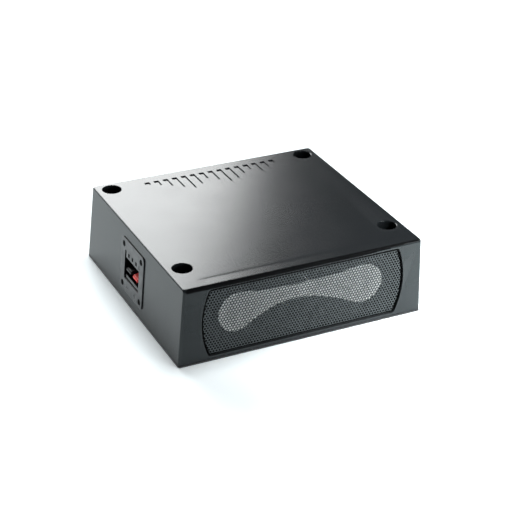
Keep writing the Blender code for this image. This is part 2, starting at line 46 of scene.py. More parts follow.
NODE_SLOT = {part["node"]: part["material_slot"] for part in RECORD["subparts"]}
MM = 0.001

# Cabinet, millimetres
HX, HY, HEIGHT = 128.5, 116.75, 80.0
SLOPE = 5.1 / HEIGHT
TILT = math.atan(SLOPE)
SIN, COS = math.sin(TILT), math.cos(TILT)
WALL = 3.0
SHELL_Z0 = 2.5
FRONT_EDGE_R, SIDE_EDGE_R, CORNER_R = 3.0, 1.5, 2.5
BORE_X, BORE_Y, BORE_R, BORE_FLOOR, BOLT_R = 107.9, (-77.6, 97.9), 9.25, 8.0, 4.25
BASE_SCREWS = ((-100.5, -85.1), (100.5, -85.1), (-100.5, 90.2), (100.5, 90.2))
CREASE_Y, CREASE_X = -102.3, -101.0
OPEN_MID, OPEN_CORNER, OPEN_Z0, OPEN_Z1, OPEN_R = 105.6, 98.2, 5.4, 75.6, 3.6
HOLE_PITCH, HOLE_R = 3.0, 1.1
WOOFER_Z, RACE_C = 41.0, 65.0
CONE_H, NECK_R, RIM_D, NECK_D = 24.0, 16.0, 7.6, 21.0
LOBE_X, LOBE_R, WAIST, WAIST_R = 65.4, 20.6, 7.6, 150.2
WOOFER_SCREWS = [(sx * 112.0, sz * 26.0) for sx in (-1, 1) for sz in (-1, 1)]
TERM_Y, TERM_Z, TERM_SCREW = -0.8, 39.8, 21.2
PLATE, PLATE_R, PLATE_TOP = 55.0, 4.1, 1.1
MOUTH_W, SILL_Z = 17.6, -0.2
LEVER_AXIS, LEVER_IN, LEVER_W, BLADE_T = (0.0, -11.0), 2.9, 10.5, 5.6
REAR_Z = 40.0
KNOBS = {"gain": 46.0, "crossover": 64.0}
JACKS = {"left": 2.0, "right": 18.0}
REAR_SCREWS = ((-79.0, 20.0), (79.0, 20.0), (-79.0, -20.0), (79.0, -20.0))


def frame_of(right, up, out, origin):
    """Matrix from a wall's own frame to the row frame, both in millimetres."""
    return Matrix.Translation(origin) @ Matrix((right, up, out)).transposed().to_4x4()


WORLD = Matrix.Identity(4)
LEFT = frame_of((0, -1, 0), (SIN, 0, COS), (-COS, 0, SIN), (-HX + SLOPE * TERM_Z, TERM_Y, TERM_Z))
REAR = frame_of((-1, 0, 0), (0, -SIN, COS), (0, COS, SIN), (0, HY - SLOPE * REAR_Z, REAR_Z))
FRONT = frame_of((1, 0, 0), (0, 0, 1), (0, 1, 0), (0, -HY, WOOFER_Z))
BACKWARD = frame_of((-1, 0, 0), (0, 0, 1), (0, 1, 0), (0, -HY, WOOFER_Z))
UNDER = frame_of((1, 0, 0), (0, -1, 0), (0, 0, -1), (0, 0, 0))


# Outlines and closed meshes, each as (points, faces)


def rounded(x0, x1, y0, y1, r, steps=8):
    points = []
    for cx, cy, start in (
        (x1 - r, y0 + r, -90), (x1 - r, y1 - r, 0), (x0 + r, y1 - r, 90), (x0 + r, y0 + r, 180)
    ):
        for k in range(steps + 1):
            a = math.radians(start + 90 * k / steps)
            points.append((cx + r * math.cos(a), cy + r * math.sin(a)))
    return points


def racetrack(h, c=RACE_C, steps=24):
    points = []
    for side, start in ((1, -90), (-1, 90)):
        for k in range(steps + 1):
            a = math.radians(start + 180 * k / steps)
            points.append((side * c + h * math.cos(a), h * math.sin(a)))
    return points


def bowed(mid, corner, z0, z1, r, steps=12):
    """The grille opening's outline: flat top and bottom, bowed ends, rounded corners."""
    zc, half, bow = (z0 + z1) / 2, (z1 - z0) / 2, mid - corner
    zp = z1 - r
    for _ in range(8):
        n = math.hypot(2 * bow * (zp - zc) / half**2, 1)
        zp = z1 - r * (1 - 2 * bow * (zp - zc) / half**2 / n)
    lean = 2 * bow * (zp - zc) / half**2
    n = math.hypot(lean, 1)
    quarter = []
    for k in range(steps):
        z = (zp - zc) * k / steps
        quarter.append((mid - bow * (z / half) ** 2, z))
    cx, cz = mid - bow * ((zp - zc) / half) ** 2 - r / n, zp - zc - r * lean / n
    a0 = math.atan2(lean, 1)
    for k in range(9):
        a = a0 + (math.pi / 2 - a0) * k / 8
        quarter.append((cx + r * math.cos(a), cz + r * math.sin(a)))
    right = [(x, -z) for x, z in quarter[:0:-1]] + quarter
    return [(x, z + zc) for x, z in right + [(-x, z) for x, z in reversed(right)]]


def opening(inset):
    return bowed(
        OPEN_MID - inset, OPEN_CORNER - inset, OPEN_Z0 + inset, OPEN_Z1 - inset, max(OPEN_R - inset, 0.8)
    )


def loft(rings, caps=True):
    n = len(rings[0])
    points = [p for ring in rings for p in ring]
    faces = []
    for i in range(len(rings) if not caps else len(rings) - 1):
        a, b = i * n, ((i + 1) % len(rings)) * n
        faces += [(a + k, a + (k + 1) % n, b + (k + 1) % n, b + k) for k in range(n)]
    if caps:
        faces.append(tuple(reversed(range(n))))
        faces.append(tuple(range(len(points) - n, len(points))))
    return points, faces


def prism(outline, lo, hi):
    return loft([[(x, y, lo) for x, y in outline], [(x, y, hi) for x, y in outline]])


def turned(mesh, order):
    points, faces = mesh
    return [tuple(p["xyz".index(k)] for k in order) for p in points], faces


def block(lo, hi):
    return prism([(lo[0], lo[1]), (hi[0], lo[1]), (hi[0], hi[1]), (lo[0], hi[1])], lo[2], hi[2])


def lathe(profile, n=48, at=(0, 0)):
    points, where = [], []
    for r, z in profile:
        if r == 0:
            where.append([len(points)] * n)
            points.append((at[0], at[1], z))
            continue
        where.append(list(range(len(points), len(points) + n)))
        for k in range(n):
            a = 2 * math.pi * k / n
            points.append((at[0] + r * math.cos(a), at[1] + r * math.sin(a), z))
    faces = []
    for i, low in enumerate(where):
        high = where[(i + 1) % len(where)]
        for k in range(n):
            m = (k + 1) % n
            ring = list(dict.fromkeys((low[k], low[m], high[m], high[k])))
            if len(ring) > 2:
                faces.append(tuple(ring))
    return points, faces


def rod(x, y, r, lo, hi, n=32):
    return lathe([(0, lo), (r, lo), (r, hi), (0, hi)], n, (x, y))


def swept(path, r, n=10, closed=False):
    rings, side = [], None
    count = len(path)
    for i, p in enumerate(path):
        after = path[(i + 1) % count] if closed else path[min(i + 1, count - 1)]
        before = path[i - 1] if closed else path[max(i - 1, 0)]
        ahead = (Vector(after) - Vector(before)).normalized()
        side = ahead.orthogonal() if side is None else side - ahead * side.dot(ahead)
        side.normalize()
        other = ahead.cross(side)
        turn = [2 * math.pi * k / n for k in range(n)]
        rings.append([tuple(Vector(p) + side * (r * math.cos(a)) + other * (r * math.sin(a))) for a in turn])
    return loft(rings, caps=not closed)


def joined(*meshes):
    points, faces = [], []
    for some, these in meshes:
        faces += [tuple(i + len(points) for i in face) for face in these]
        points += some
    return points, faces


# Objects


def make(name, mesh, place=WORLD):
    points, faces = mesh
    data = bpy.data.meshes.new(name)
    data.from_pydata([(place @ Vector(p)) * MM for p in points], [], faces)
    shape = bmesh.new()
    shape.from_mesh(data)
    bmesh.ops.recalc_face_normals(shape, faces=shape.faces)
    shape.to_mesh(data)
    shape.free()
    made = bpy.data.objects.new(name, data)
    bpy.context.scene.collection.objects.link(made)
    return made


def carve(target, mesh, place=WORLD, operation="DIFFERENCE", solver="EXACT"):
    """Cuts a mesh from a piece, or joins it on, at once."""
    tool = make("tool", mesh, place)
    step = target.modifiers.new("carve", "BOOLEAN")
    step.operation = operation
    step.solver = solver
    step.object = tool
    done = bpy.data.meshes.new_from_object(target.evaluated_get(bpy.context.evaluated_depsgraph_get()))
    target.modifiers.clear()
    target.data = done
    bpy.data.objects.remove(tool)
    return target


def soften(target, width, segments=2, angle=28.0):
    """Rounds the edges and smooths the shading."""
    if width:
        step = target.modifiers.new("edges", "BEVEL")
        step.limit_method = "ANGLE"
        step.angle_limit = math.radians(angle)
        step.width = width * MM
        step.segments = segments
        step.use_clamp_overlap = False
        step.harden_normals = False
    target.data.shade_smooth()
    even = target.modifiers.new("shading", "WEIGHTED_NORMAL")
    even.keep_sharp = True
    even.weight = 90
    return target


def place_on(target, node, *materials):
    """The piece takes over from a CAD node: its body, its material slot and its look."""
    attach(target, NODE_BODY[node])
    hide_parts(node)
    target.data.materials.clear()
    for name in materials or (NODE_SLOT[node],):
        target.data.materials.append(LOOK[name])
    return target


def paint_where(target, index, test):
    """Gives another of the piece's materials to the faces whose centre, in millimetres, passes the test."""
    for face in target.data.polygons:
        if test(face.center / MM):
            face.material_index = index
    return target


# Looks: every finish has its own grain, mottling, roughness and bump


LOOK = {}


def finish(
    name,
    colour,
    roughness,
    metallic=0.0,
    grain=900.0,
    bump=0.1,
    depth=0.00008,
    mottle=0.12,
    mottle_scale=25.0,
    rough_var=0.08,
    stretch=(1, 1, 1),
    wear=0.0,
    wear_colour=(0.5, 0.5, 0.5),
    coat=0.0,
    coat_roughness=0.15,
    sheen=0.0,
    ior=1.5,
    specular=0.5,
    tint=(1.0, 1.0, 1.0),
    pattern=None,
    pattern_scale=100.0,
    second=None,
    transmission=0.0,
    emission=None,
):
    made = bpy.data.materials.new(name)
    made.use_nodes = True
    made.diffuse_color = (*colour, 1)
    tree = made.node_tree
    nodes, link = tree.nodes, tree.links.new
    shader = nodes["Principled BSDF"]
    shader.inputs["Metallic"].default_value = metallic
    shader.inputs["IOR"].default_value = ior
    shader.inputs["Specular IOR Level"].default_value = specular
    shader.inputs["Specular Tint"].default_value = (*tint, 1)
    shader.inputs["Coat Weight"].default_value = coat
    shader.inputs["Coat Roughness"].default_value = coat_roughness
    shader.inputs["Sheen Weight"].default_value = sheen
    shader.inputs["Transmission Weight"].default_value = transmission
    if emission:
        shader.inputs["Emission Color"].default_value = (*emission[0], 1)
        shader.inputs["Emission Strength"].default_value = emission[1]
    where = nodes.new("ShaderNodeTexCoord")
    spread = nodes.new("ShaderNodeMapping")
    spread.inputs["Scale"].default_value = stretch
    link(where.outputs["Object"], spread.inputs["Vector"])

    def noise(scale, detail, rough=0.55):
        node = nodes.new("ShaderNodeTexNoise")
        node.inputs["Scale"].default_value = scale
        node.inputs["Detail"].default_value = detail
        node.inputs["Roughness"].default_value = rough
        link(spread.outputs["Vector"], node.inputs["Vector"])
        return node.outputs["Fac"]

    def ranged(value, low, high, start=0.3, end=0.7):
        node = nodes.new("ShaderNodeMapRange")
        node.inputs["From Min"].default_value = start
        node.inputs["From Max"].default_value = end
        node.inputs["To Min"].default_value = low
        node.inputs["To Max"].default_value = high
        link(value, node.inputs["Value"])
        return node.outputs["Result"]

    def mixed(factor, a, b, blend="MIX"):
        node = nodes.new("ShaderNodeMix")
        node.data_type = "RGBA"
        node.blend_type = blend
        for socket, value in (("Factor", factor), ("A", a), ("B", b)):
            found = [s for s in node.inputs if s.name == socket and s.enabled][0]
            if isinstance(value, (tuple, float, int)):
                found.default_value = (*value, 1) if isinstance(value, tuple) else value
            else:
                link(value, found)
        return [s for s in node.outputs if s.enabled][0]

    fine, coarse = noise(grain, 3.0), noise(mottle_scale, 5.0)
    dark = tuple(c * (1 - mottle) for c in colour)
    light = tuple(min(c * (1 + mottle), 1.0) for c in colour)
    tone = mixed(ranged(coarse, 0.0, 1.0), dark, light)
    tone = mixed(ranged(fine, 0.0, 0.35), tone, tuple(c * (1 - 1.5 * mottle) for c in colour))
    height = fine
    if pattern == "bands":
        wave = nodes.new("ShaderNodeTexWave")
        wave.wave_type = "RINGS"
        wave.rings_direction = "Y"
        wave.inputs["Scale"].default_value = pattern_scale
        wave.inputs["Distortion"].default_value = 0.6
        link(where.outputs["Object"], wave.inputs["Vector"])
        height = wave.outputs["Fac"]
    elif pattern == "weave":
        checks = nodes.new("ShaderNodeTexChecker")
        checks.inputs["Scale"].default_value = pattern_scale
        link(where.outputs["Object"], checks.inputs["Vector"])
        brick = nodes.new("ShaderNodeTexWave")
        brick.inputs["Scale"].default_value = pattern_scale * 0.5
        brick.bands_direction = "DIAGONAL"
        link(where.outputs["Object"], brick.inputs["Vector"])
        tone = mixed(ranged(brick.outputs["Fac"], 0.0, 0.5, 0.0, 1.0), tone, second or dark)
        height = brick.outputs["Fac"]
    elif pattern == "cells":
        cells = nodes.new("ShaderNodeTexVoronoi")
        cells.inputs["Scale"].default_value = pattern_scale
        link(spread.outputs["Vector"], cells.inputs["Vector"])
        tone = mixed(ranged(cells.outputs["Distance"], 0.7, 0.0, 0.0, 0.5), tone, second or dark)
        height = cells.outputs["Distance"]
    elif pattern == "traces":
        brick = nodes.new("ShaderNodeTexBrick")
        brick.inputs["Scale"].default_value = pattern_scale
        brick.inputs["Mortar Size"].default_value = 0.03
        link(where.outputs["Object"], brick.inputs["Vector"])
        tone = mixed(brick.outputs["Fac"], tone, second or dark)
        height = brick.outputs["Fac"]
    if wear:
        about = nodes.new("ShaderNodeNewGeometry")
        edge = ranged(about.outputs["Pointiness"], 0.0, wear, 0.52, 0.60)
        patch = nodes.new("ShaderNodeMath")
        patch.operation = "MULTIPLY"
        link(edge, patch.inputs[0])
        link(ranged(coarse, 0.3, 1.0), patch.inputs[1])
        tone = mixed(patch.outputs["Value"], tone, wear_colour)
    link(tone, shader.inputs["Base Color"])
    link(
        ranged(noise(mottle_scale * 3, 4.0), roughness - rough_var, roughness + rough_var),
        shader.inputs["Roughness"],
    )
    rise = nodes.new("ShaderNodeBump")
    rise.inputs["Strength"].default_value = bump
    rise.inputs["Distance"].default_value = depth
    link(height, rise.inputs["Height"])
    link(rise.outputs["Normal"], shader.inputs["Normal"])
    LOOK[name] = made
    return made


PAINT_TINT = (0.92, 1.0, 1.0)
finish("cabinet_paint", (0.0078, 0.0094, 0.0106), 0.225, 0.0, 1500, 0.12, 0.00004, 0.05, 9, 0.012, ior=1.36,
       tint=PAINT_TINT, wear=0.25, wear_colour=(0.12, 0.125, 0.13))
finish("edge_shade", (0.0030, 0.0032, 0.0035), 0.5, 0.0, 1500, 0.12, 0.00004, 0.10, 20, ior=1.08)
finish("base_paint", (0.022, 0.023, 0.025), 0.42, 0.2, 1100, 0.2, 0.00006, 0.15, 20)
finish("grille_paint", (0.031, 0.036, 0.038), 0.33, 0.0, 1500, 0.12, 0.00004, 0.10, 30, ior=1.42,
       tint=PAINT_TINT)
finish("foam_black", (0.004, 0.004, 0.004), 0.95, 0.0, 700, 0.9, 0.0004, 0.3, 60, specular=0.05,
       pattern="cells", pattern_scale=900)
finish("rubber_black", (0.005, 0.005, 0.006), 0.62, 0.0, 1200, 0.3, 0.0001, 0.2, 40, sheen=0.01,
       specular=0.15)
finish("basket_black", (0.006, 0.006, 0.007), 0.5, 0.0, 1500, 0.45, 0.0001, 0.15, 30)
finish("cone_black", (0.005, 0.005, 0.006), 0.7, 0.0, 800, 0.5, 0.0002, 0.25, 50, specular=0.1)
finish("cone_pale", (0.54, 0.55, 0.54), 0.38, 0.0, 1000, 0.25, 0.0001, 0.05, 60, pattern="weave",
       pattern_scale=420, second=(0.45, 0.46, 0.45), coat=0.2)
finish("spider_cloth", (0.42, 0.30, 0.13), 0.9, 0.0, 900, 0.6, 0.0002, 0.2, 80, pattern="weave",
       pattern_scale=900,
       second=(0.30, 0.20, 0.08), sheen=0.3)
finish("former_alloy", (0.72, 0.72, 0.73), 0.32, 1.0, 500, 0.15, 0.00005, 0.08, 50, stretch=(1, 6, 1))
finish("copper", (0.75, 0.33, 0.16), 0.3, 1.0, 900, 0.2, 0.00005, 0.15, 70, coat=0.4)
finish("steel_zinc", (0.56, 0.56, 0.55), 0.33, 1.0, 700, 0.2, 0.00005, 0.12, 90, stretch=(1, 4, 1))
finish("ferrite", (0.045, 0.045, 0.05), 0.75, 0.0, 1300, 0.5, 0.0002, 0.25, 60, wear=0.5,
       wear_colour=(0.12, 0.12, 0.12))
finish("screw_black", (0.004, 0.004, 0.004), 0.5, 0.0, 1500, 0.2, 0.00005, 0.2, 90, ior=1.1, specular=0.3)
finish("plate_grey", (0.020, 0.023, 0.025), 0.34, 0.0, 1700, 0.25, 0.00006, 0.10, 40, ior=1.52)
finish("lever_black", (0.006, 0.006, 0.007), 0.34, 0.0, 1500, 0.1, 0.00004, 0.2, 60, ior=1.33)
finish("lever_red", (0.95, 0.048, 0.034), 0.40, 0.0, 1500, 0.1, 0.00004, 0.08, 60, ior=1.38)
finish("brass", (0.72, 0.50, 0.20), 0.28, 1.0, 900, 0.15, 0.00005, 0.12, 80, stretch=(1, 3, 1))
finish("panel_black", (0.018, 0.018, 0.019), 0.45, 0.2, 1500, 0.45, 0.00008, 0.12, 30)
finish("plastic_black", (0.008, 0.008, 0.009), 0.45, 0.0, 1600, 0.3, 0.00006, 0.2, 50)
finish("fuse_amber", (0.95, 0.42, 0.03), 0.18, 0.0, 600, 0.05, 0.00003, 0.08, 60, transmission=0.35)
finish("led_blue", (0.12, 0.35, 0.95), 0.12, 0.0, 600, 0.05, 0.00003, 0.08, 60, transmission=0.5,
       emission=((0.1, 0.35, 1.0), 0.6))
finish("board_green", (0.012, 0.11, 0.045), 0.35, 0.0, 700, 0.3, 0.00006, 0.15, 50, pattern="traces",
       pattern_scale=90, second=(0.02, 0.17, 0.07), coat=0.3)
finish("alloy", (0.66, 0.66, 0.67), 0.36, 1.0, 600, 0.25, 0.00006, 0.1, 60, stretch=(1, 1, 5))
finish("can_sleeve", (0.02, 0.03, 0.07), 0.28, 0.0, 900, 0.1, 0.00004, 0.15, 50, coat=0.3)
finish("legend_pale", (0.62, 0.63, 0.63), 0.5, 0.0, 1500, 0.1, 0.00003, 0.06, 60)
finish("solder", (0.62, 0.62, 0.60), 0.3, 1.0, 800, 0.3, 0.0001, 0.15, 100)
finish("jack_insulator", (0.70, 0.69, 0.66), 0.45, 0.0, 900, 0.1, 0.00004, 0.06, 60)


# Cabinet shell


def edge_inset(z, r):
    drop = r - (HEIGHT - z)
    return r - math.sqrt(max(r * r - drop * drop, 0.0)) if drop > 0 else 0.0


def shell_ring(z, low=0.0):
    side = SLOPE * z + edge_inset(z, SIDE_EDGE_R) + low
    front = edge_inset(z, FRONT_EDGE_R) + low
    outline = rounded(-HX + side, HX - side, -HY + front, HY - side, CORNER_R, 10)
    return [(x, y, z) for x, y in outline]


levels = [76.4, 76.7]
levels += [HEIGHT - FRONT_EDGE_R * (1 - math.sin(math.radians(90 * k / 12))) for k in range(12)]
levels += [HEIGHT - SIDE_EDGE_R * (1 - math.sin(math.radians(90 * k / 8))) for k in range(9)]
rings = [shell_ring(SHELL_Z0, 0.45), shell_ring(SHELL_Z0 + 0.15, 0.15), shell_ring(SHELL_Z0 + 0.5)]
rings += [shell_ring(z) for z in sorted(set(round(z, 4) for z in levels))]
shell = make("cabinet_shell_detail", loft(rings))


def cavity_ring(z):
    side = SLOPE * z + WALL
    w, front, back, inner = HX - side, -HY + WALL, HY - side, BORE_X - 12
    y0, y1, y2 = BORE_Y[0] - 12, BORE_Y[0] + 12, BORE_Y[1] - 12
    right = [(w, front), (w, y0), (inner, y0), (inner, y1), (w, y1), (w, y2), (inner, y2), (inner, back)]
    return [(x, y, z) for x, y in right + [(-x, y) for x, y in reversed(right)]]


carve(shell, loft([cavity_ring(-1.0), cavity_ring(HEIGHT - WALL)]))
carve(shell, joined(*[rod(x, z, 3.5, 1.5, 6.2, 24) for x, z in WOOFER_SCREWS]), FRONT, "UNION")
carve(shell, joined(*[rod(x, z, 1.5, 1.4, 7.5, 16) for x, z in WOOFER_SCREWS]), FRONT)
bore = [(0, BORE_FLOOR), (BORE_R, BORE_FLOOR), (BORE_R, 79.2), (BORE_R + 0.25, 79.6), (BORE_R + 0.85, 80.1)]
bore += [(BORE_R + 0.85, 86), (0, 86)]
bore_places = [(sx * BORE_X, y) for sx in (-1, 1) for y in BORE_Y]
carve(shell, joined(*[lathe(bore, 64, place) for place in bore_places]))
floor_holes = [rod(x, y, BOLT_R, -5, BORE_FLOOR + 1, 32) for x, y in bore_places]
carve(shell, joined(*floor_holes, *[rod(x, y, 1.5, -5, 7.0, 16) for x, y in BASE_SCREWS]))
mouth_rings = []
for depth, grow in ((-5, 0.45), (0.0, 0.45), (0.15, 0.15), (0.5, 0.0), (WALL + 0.4, 0.0)):
    mouth_rings.append([(x, -HY + depth, z) for x, z in opening(-grow)])
carve(shell, loft(mouth_rings))
wall_screws = [rod(sx * TERM_SCREW, sy * TERM_SCREW, 1.7, -8, 6, 16) for sx in (-1, 1) for sy in (-1, 1)]
carve(shell, joined(prism(rounded(-20.3, 20.3, -17.7, 17.7, 1.5), -8, 6), *wall_screws), LEFT)
rear_holes = [
    lathe([(0, -8), (1.7, -8), (1.7, -1.7), (3.3, -1.7), (3.3, 6), (0, 6)], 24, place)
    for place in REAR_SCREWS
]
carve(shell, joined(prism(rounded(-75, 75, -25, 25, 4), -8, 6), *rear_holes), REAR)

# A plain row of level bars stands in for the mark pressed into the top
BAR_HEIGHTS = (6, 11, 17, 24, 30, 24, 15, 22, 30, 26, 18, 12, 20, 14, 8)
bars = []
for k, tall in enumerate(BAR_HEIGHTS):
    x = -70.0 + 10.0 * k
    outline = rounded(x - 2.8, x + 2.8, 99.0 - tall, 99.0, 0.8, 4)
    bars.append(loft([[(a, b, HEIGHT - 1.1) for a, b in outline], [(a, b, HEIGHT + 3) for a, b in outline]]))
carve(shell, joined(*bars))


def press_crease(target):
    """A shallow step across the top, a little behind the front edge, that dies out near the left bore."""
    shape = bmesh.new()
    shape.from_mesh(target.data)
    for offset in (-8.5, -4.0, -1.6, -0.8, 0.0, 0.8, 1.6, 4.0):
        geometry = [*shape.verts, *shape.edges, *shape.faces]
        bmesh.ops.bisect_plane(
            shape, geom=geometry, plane_co=(0, (CREASE_Y + offset) * MM, 0), plane_no=(0, 1, 0), dist=1e-6
        )
    for offset in (-6.0, -3.0, 0.0, 3.0, 6.0, 12.0, 40.0, 80.0, 120.0, 160.0, 175.0, 190.0, 205.0):
        geometry = [*shape.verts, *shape.edges, *shape.faces]
        bmesh.ops.bisect_plane(
            shape, geom=geometry, plane_co=((CREASE_X + offset) * MM, 0, 0), plane_no=(1, 0, 0), dist=1e-6
        )
    for v in shape.verts:
        if v.co.z < (HEIGHT - 0.02) * MM:
            continue
        x, y = v.co.x / MM, v.co.y / MM
        along = min(max((x - CREASE_X + 6) / 12, 0), 1)
        along = along * along * (3 - 2 * along)
        ahead = CREASE_Y + 1.6 - y
        if ahead > 0:
            drop = 0.11 * min(ahead / 3.2, 1) - 0.011 * min(max(ahead - 3.2, 0), 10)
            v.co.z -= drop * along * MM
    shape.to_mesh(target.data)
    shape.free()


press_crease(shell)
soften(shell, 0)
shell.data.set_sharp_from_angle(angle=math.radians(32))
place_on(shell, "cabinet_shell", "cabinet_paint", "edge_shade")


def front_edge_painted_shade(p):
    """Painted shade: the strip just under the front top edge gets the near-black edge_shade in place of the
    dark reflection on the rounded edge, thinner towards the right.
    """
    thin = min(max((p.x - 60) / 45, 0), 1)
    return p.y < -HY + 2.95 and 76.3 + 2.6 * thin < p.z < 79.85 and abs(p.x) < HX - 9


paint_where(shell, 1, front_edge_painted_shade)

plate_rings = [[(x, y, z) for x, y in rounded(-HX + i, HX - i, -HY + i, HY - i, 2.5, 10)] for z, i in
               ((0, 0.5), (0.15, 0.15), (0.5, 0.0), (1.5, 0.0), (1.85, 0.15), (2.0, 0.5))]
base = make("base_plate_detail", loft(plate_rings))
counterbores = [
    lathe([(0, -5), (3.3, -5), (3.3, 1.4), (1.5, 1.4), (1.5, 5), (0, 5)], 24, at) for at in BASE_SCREWS
]
carve(base, joined(*[rod(x, y, BOLT_R, -5, 5, 32) for x, y in bore_places], *counterbores))
ribs = [block((x - 0.8, -90, -0.5), (x + 0.8, 90, 0.35)) for x in range(-80, 81, 20)]
carve(base, joined(*ribs))
soften(base, 0)
base.data.set_sharp_from_angle(angle=math.radians(32))
place_on(base, "base_plate")


# Screws


def screw(node, x, y, top, length, head_r, shank_r, place, head_h=1.2, recess=1.0):
    """A threaded screw pointing down its frame's -z, with a cross recess and a domed head."""
    head = [
        (0, top), (head_r * 0.62, top), (head_r * 0.86, top - head_h * 0.12), (head_r, top - head_h * 0.4)
    ]
    head += [(head_r, top - head_h), (shank_r, top - head_h)]
    thread, z = [], top - head_h - 0.3
    while z > top - length + 0.8:
        thread += [(shank_r, z), (shank_r * 0.82, z - 0.25)]
        z -= 0.5
    tip = [(shank_r * 0.8, top - length + 0.4), (0, top - length)]
    made = make(f"{node}_detail", lathe(head + thread + tip, 28, (x, y)), place)
    arm, deep = head_r * 0.52, head_h * 0.62
    cross = [block((x - arm, y - 0.28 * recess, top - deep), (x + arm, y + 0.28 * recess, top + 1))]
    cross += [
        block((x - 0.28 * recess, y - arm, top - deep - 0.01), (x + 0.28 * recess, y + arm, top + 1.01))
    ]
    for part in cross:
        carve(made, part, place)
    soften(made, 0.05, 1, 40)
    return place_on(made, node)


for number, (x, y) in enumerate(BASE_SCREWS, 1):
    screw(f"base_screw_{number}", x, -y, -0.1, 6.4, 3.0, 1.2, UNDER, 1.0)
for number, (x, z) in enumerate(WOOFER_SCREWS, 1):
    screw(f"woofer_screw_{number}", -x, z, 11.1, 9.0, 2.8, 1.2, BACKWARD, 1.8)
for number, (sx, sy) in enumerate(((-1, -1), (1, -1), (-1, 1), (1, 1)), 1):
    screw(f"terminal_screw_{number}", sx * TERM_SCREW, sy * TERM_SCREW, 0.95, 10.0, 2.9, 1.3, LEFT, 0.5)
for number, (x, y) in enumerate(REAR_SCREWS, 1):
    screw(f"rear_screw_{number}", x, y, -0.2, 7.0, 3.0, 1.4, REAR, 1.2)


# Grille: a perforated sheet whose border rolls back, on a flange behind the wall


def perforated_sheet():
    """Staggered round holes with broken edges, each in its own six-sided cell. In x, z and depth."""
    pitch, rise = HOLE_PITCH, HOLE_PITCH * math.sqrt(3) / 2
    thick, lip = 0.5, 0.05
    points, faces, shared = [], [], {}

    def corner(x, z, depth):
        key = (round(x, 3), round(z, 3), depth)
        if key not in shared:
            shared[key] = len(points)
            points.append((x, z, depth))
        return shared[key]

    reach_x, rows = 36, 14
    edges = {}
    zc = (OPEN_Z0 + OPEN_Z1) / 2
    for j in range(-rows, rows + 1):
        for i in range(-reach_x, reach_x + 1):
            cx, cz = pitch * (i + 0.5 * (j % 2)), zc + rise * j
            outer, hole = [], []
            for k in range(12):
                a = math.radians(30 * k)
                far = pitch / 2 if k % 2 == 0 else pitch / math.sqrt(3)
                outer.append((cx + far * math.cos(a), cz + far * math.sin(a)))
                hole.append((math.cos(a), math.sin(a)))
            front = [corner(x, z, 0.0) for x, z in outer]
            back = [corner(x, z, thick) for x, z in outer]
            loops = []
            for r, depth in ((HOLE_R + lip, 0.0), (HOLE_R, lip), (HOLE_R, thick)):
                loops.append(list(range(len(points), len(points) + 12)))
                points.extend((cx + r * c, cz + r * s, depth) for c, s in hole)
            chain = [front, *loops, back]
            for low, high in zip(chain, chain[1:]):
                for k in range(12):
                    m = (k + 1) % 12
                    faces.append((low[k], low[m], high[m], high[k]))
            for k in range(12):
                m = (k + 1) % 12
                key = (min(front[k], front[m]), max(front[k], front[m]))
                edges.setdefault(key, []).append((front[k], front[m], back[m], back[k]))
    faces += [side[0] for side in edges.values() if len(side) == 1]
    return points, faces


def roll_back(target, outline, radius=2.6):
    """Bends the sheet back near its outline."""
    sides = [(Vector(a), Vector(b)) for a, b in zip(outline, outline[1:] + outline[:1]) if a != b]
    lines = []
    for a, b in sides:
        along = (b - a).normalized()
        lines.append((a.x, a.y, -along.y, along.x))
    for v in target.data.vertices:
        x, z = v.co.x / MM, v.co.z / MM
        room = min((x - ax) * nx + (z - az) * nz for ax, az, nx, nz in lines)
        if room < radius:
            short = radius - max(room, 0.0)
            v.co.y += (radius - math.sqrt(max(radius**2 - short**2, 0.0))) * MM


points, faces = perforated_sheet()
grille = make("front_grille_detail", ([(x, -HY + 1.3 + d, z) for x, z, d in points], faces))
carve(grille, turned(prism(opening(0.4), -HY - 2, -HY + 4), "xzy"), WORLD, "INTERSECT", "MANIFOLD")
roll_back(grille, opening(0.4))
flange = []
for inset, depth in ((-1.0, 3.3), (-1.0, 4.3), (1.2, 4.3), (1.2, 3.9), (0.45, 3.3)):
    flange.append([(x, -HY + depth, z) for x, z in opening(inset)])
rim = make("flange", loft(flange, caps=False))
with bpy.context.temp_override(active_object=grille, selected_editable_objects=[grille, rim]):
    bpy.ops.object.join()
soften(grille, 0)
grille.data.set_sharp_from_angle(angle=math.radians(50))
place_on(grille, "front_grille", "grille_paint", "edge_shade")
# Painted shade: the hole walls, the back of the sheet, its rolled-back border, the flange and the rows under
# the opening's top edge get the near-black edge_shade, for the shade in the holes and under the lip.
paint_where(grille, 1, lambda p: p.y > -HY + 1.5 or p.z > 73.2)


# Woofer


def race_ring(h, d, c=RACE_C, steps=24):
    return [(x, y, d) for x, y in racetrack(h, c, steps)]


gasket = make("grille_gasket_detail", prism(rounded(-107.8, 107.8, -35, 35, 3), 4.6, 6.2), FRONT)
carve(gasket, prism(racetrack(33.5), 2, 9), FRONT)
place_on(soften(gasket, 0.25), "grille_gasket")

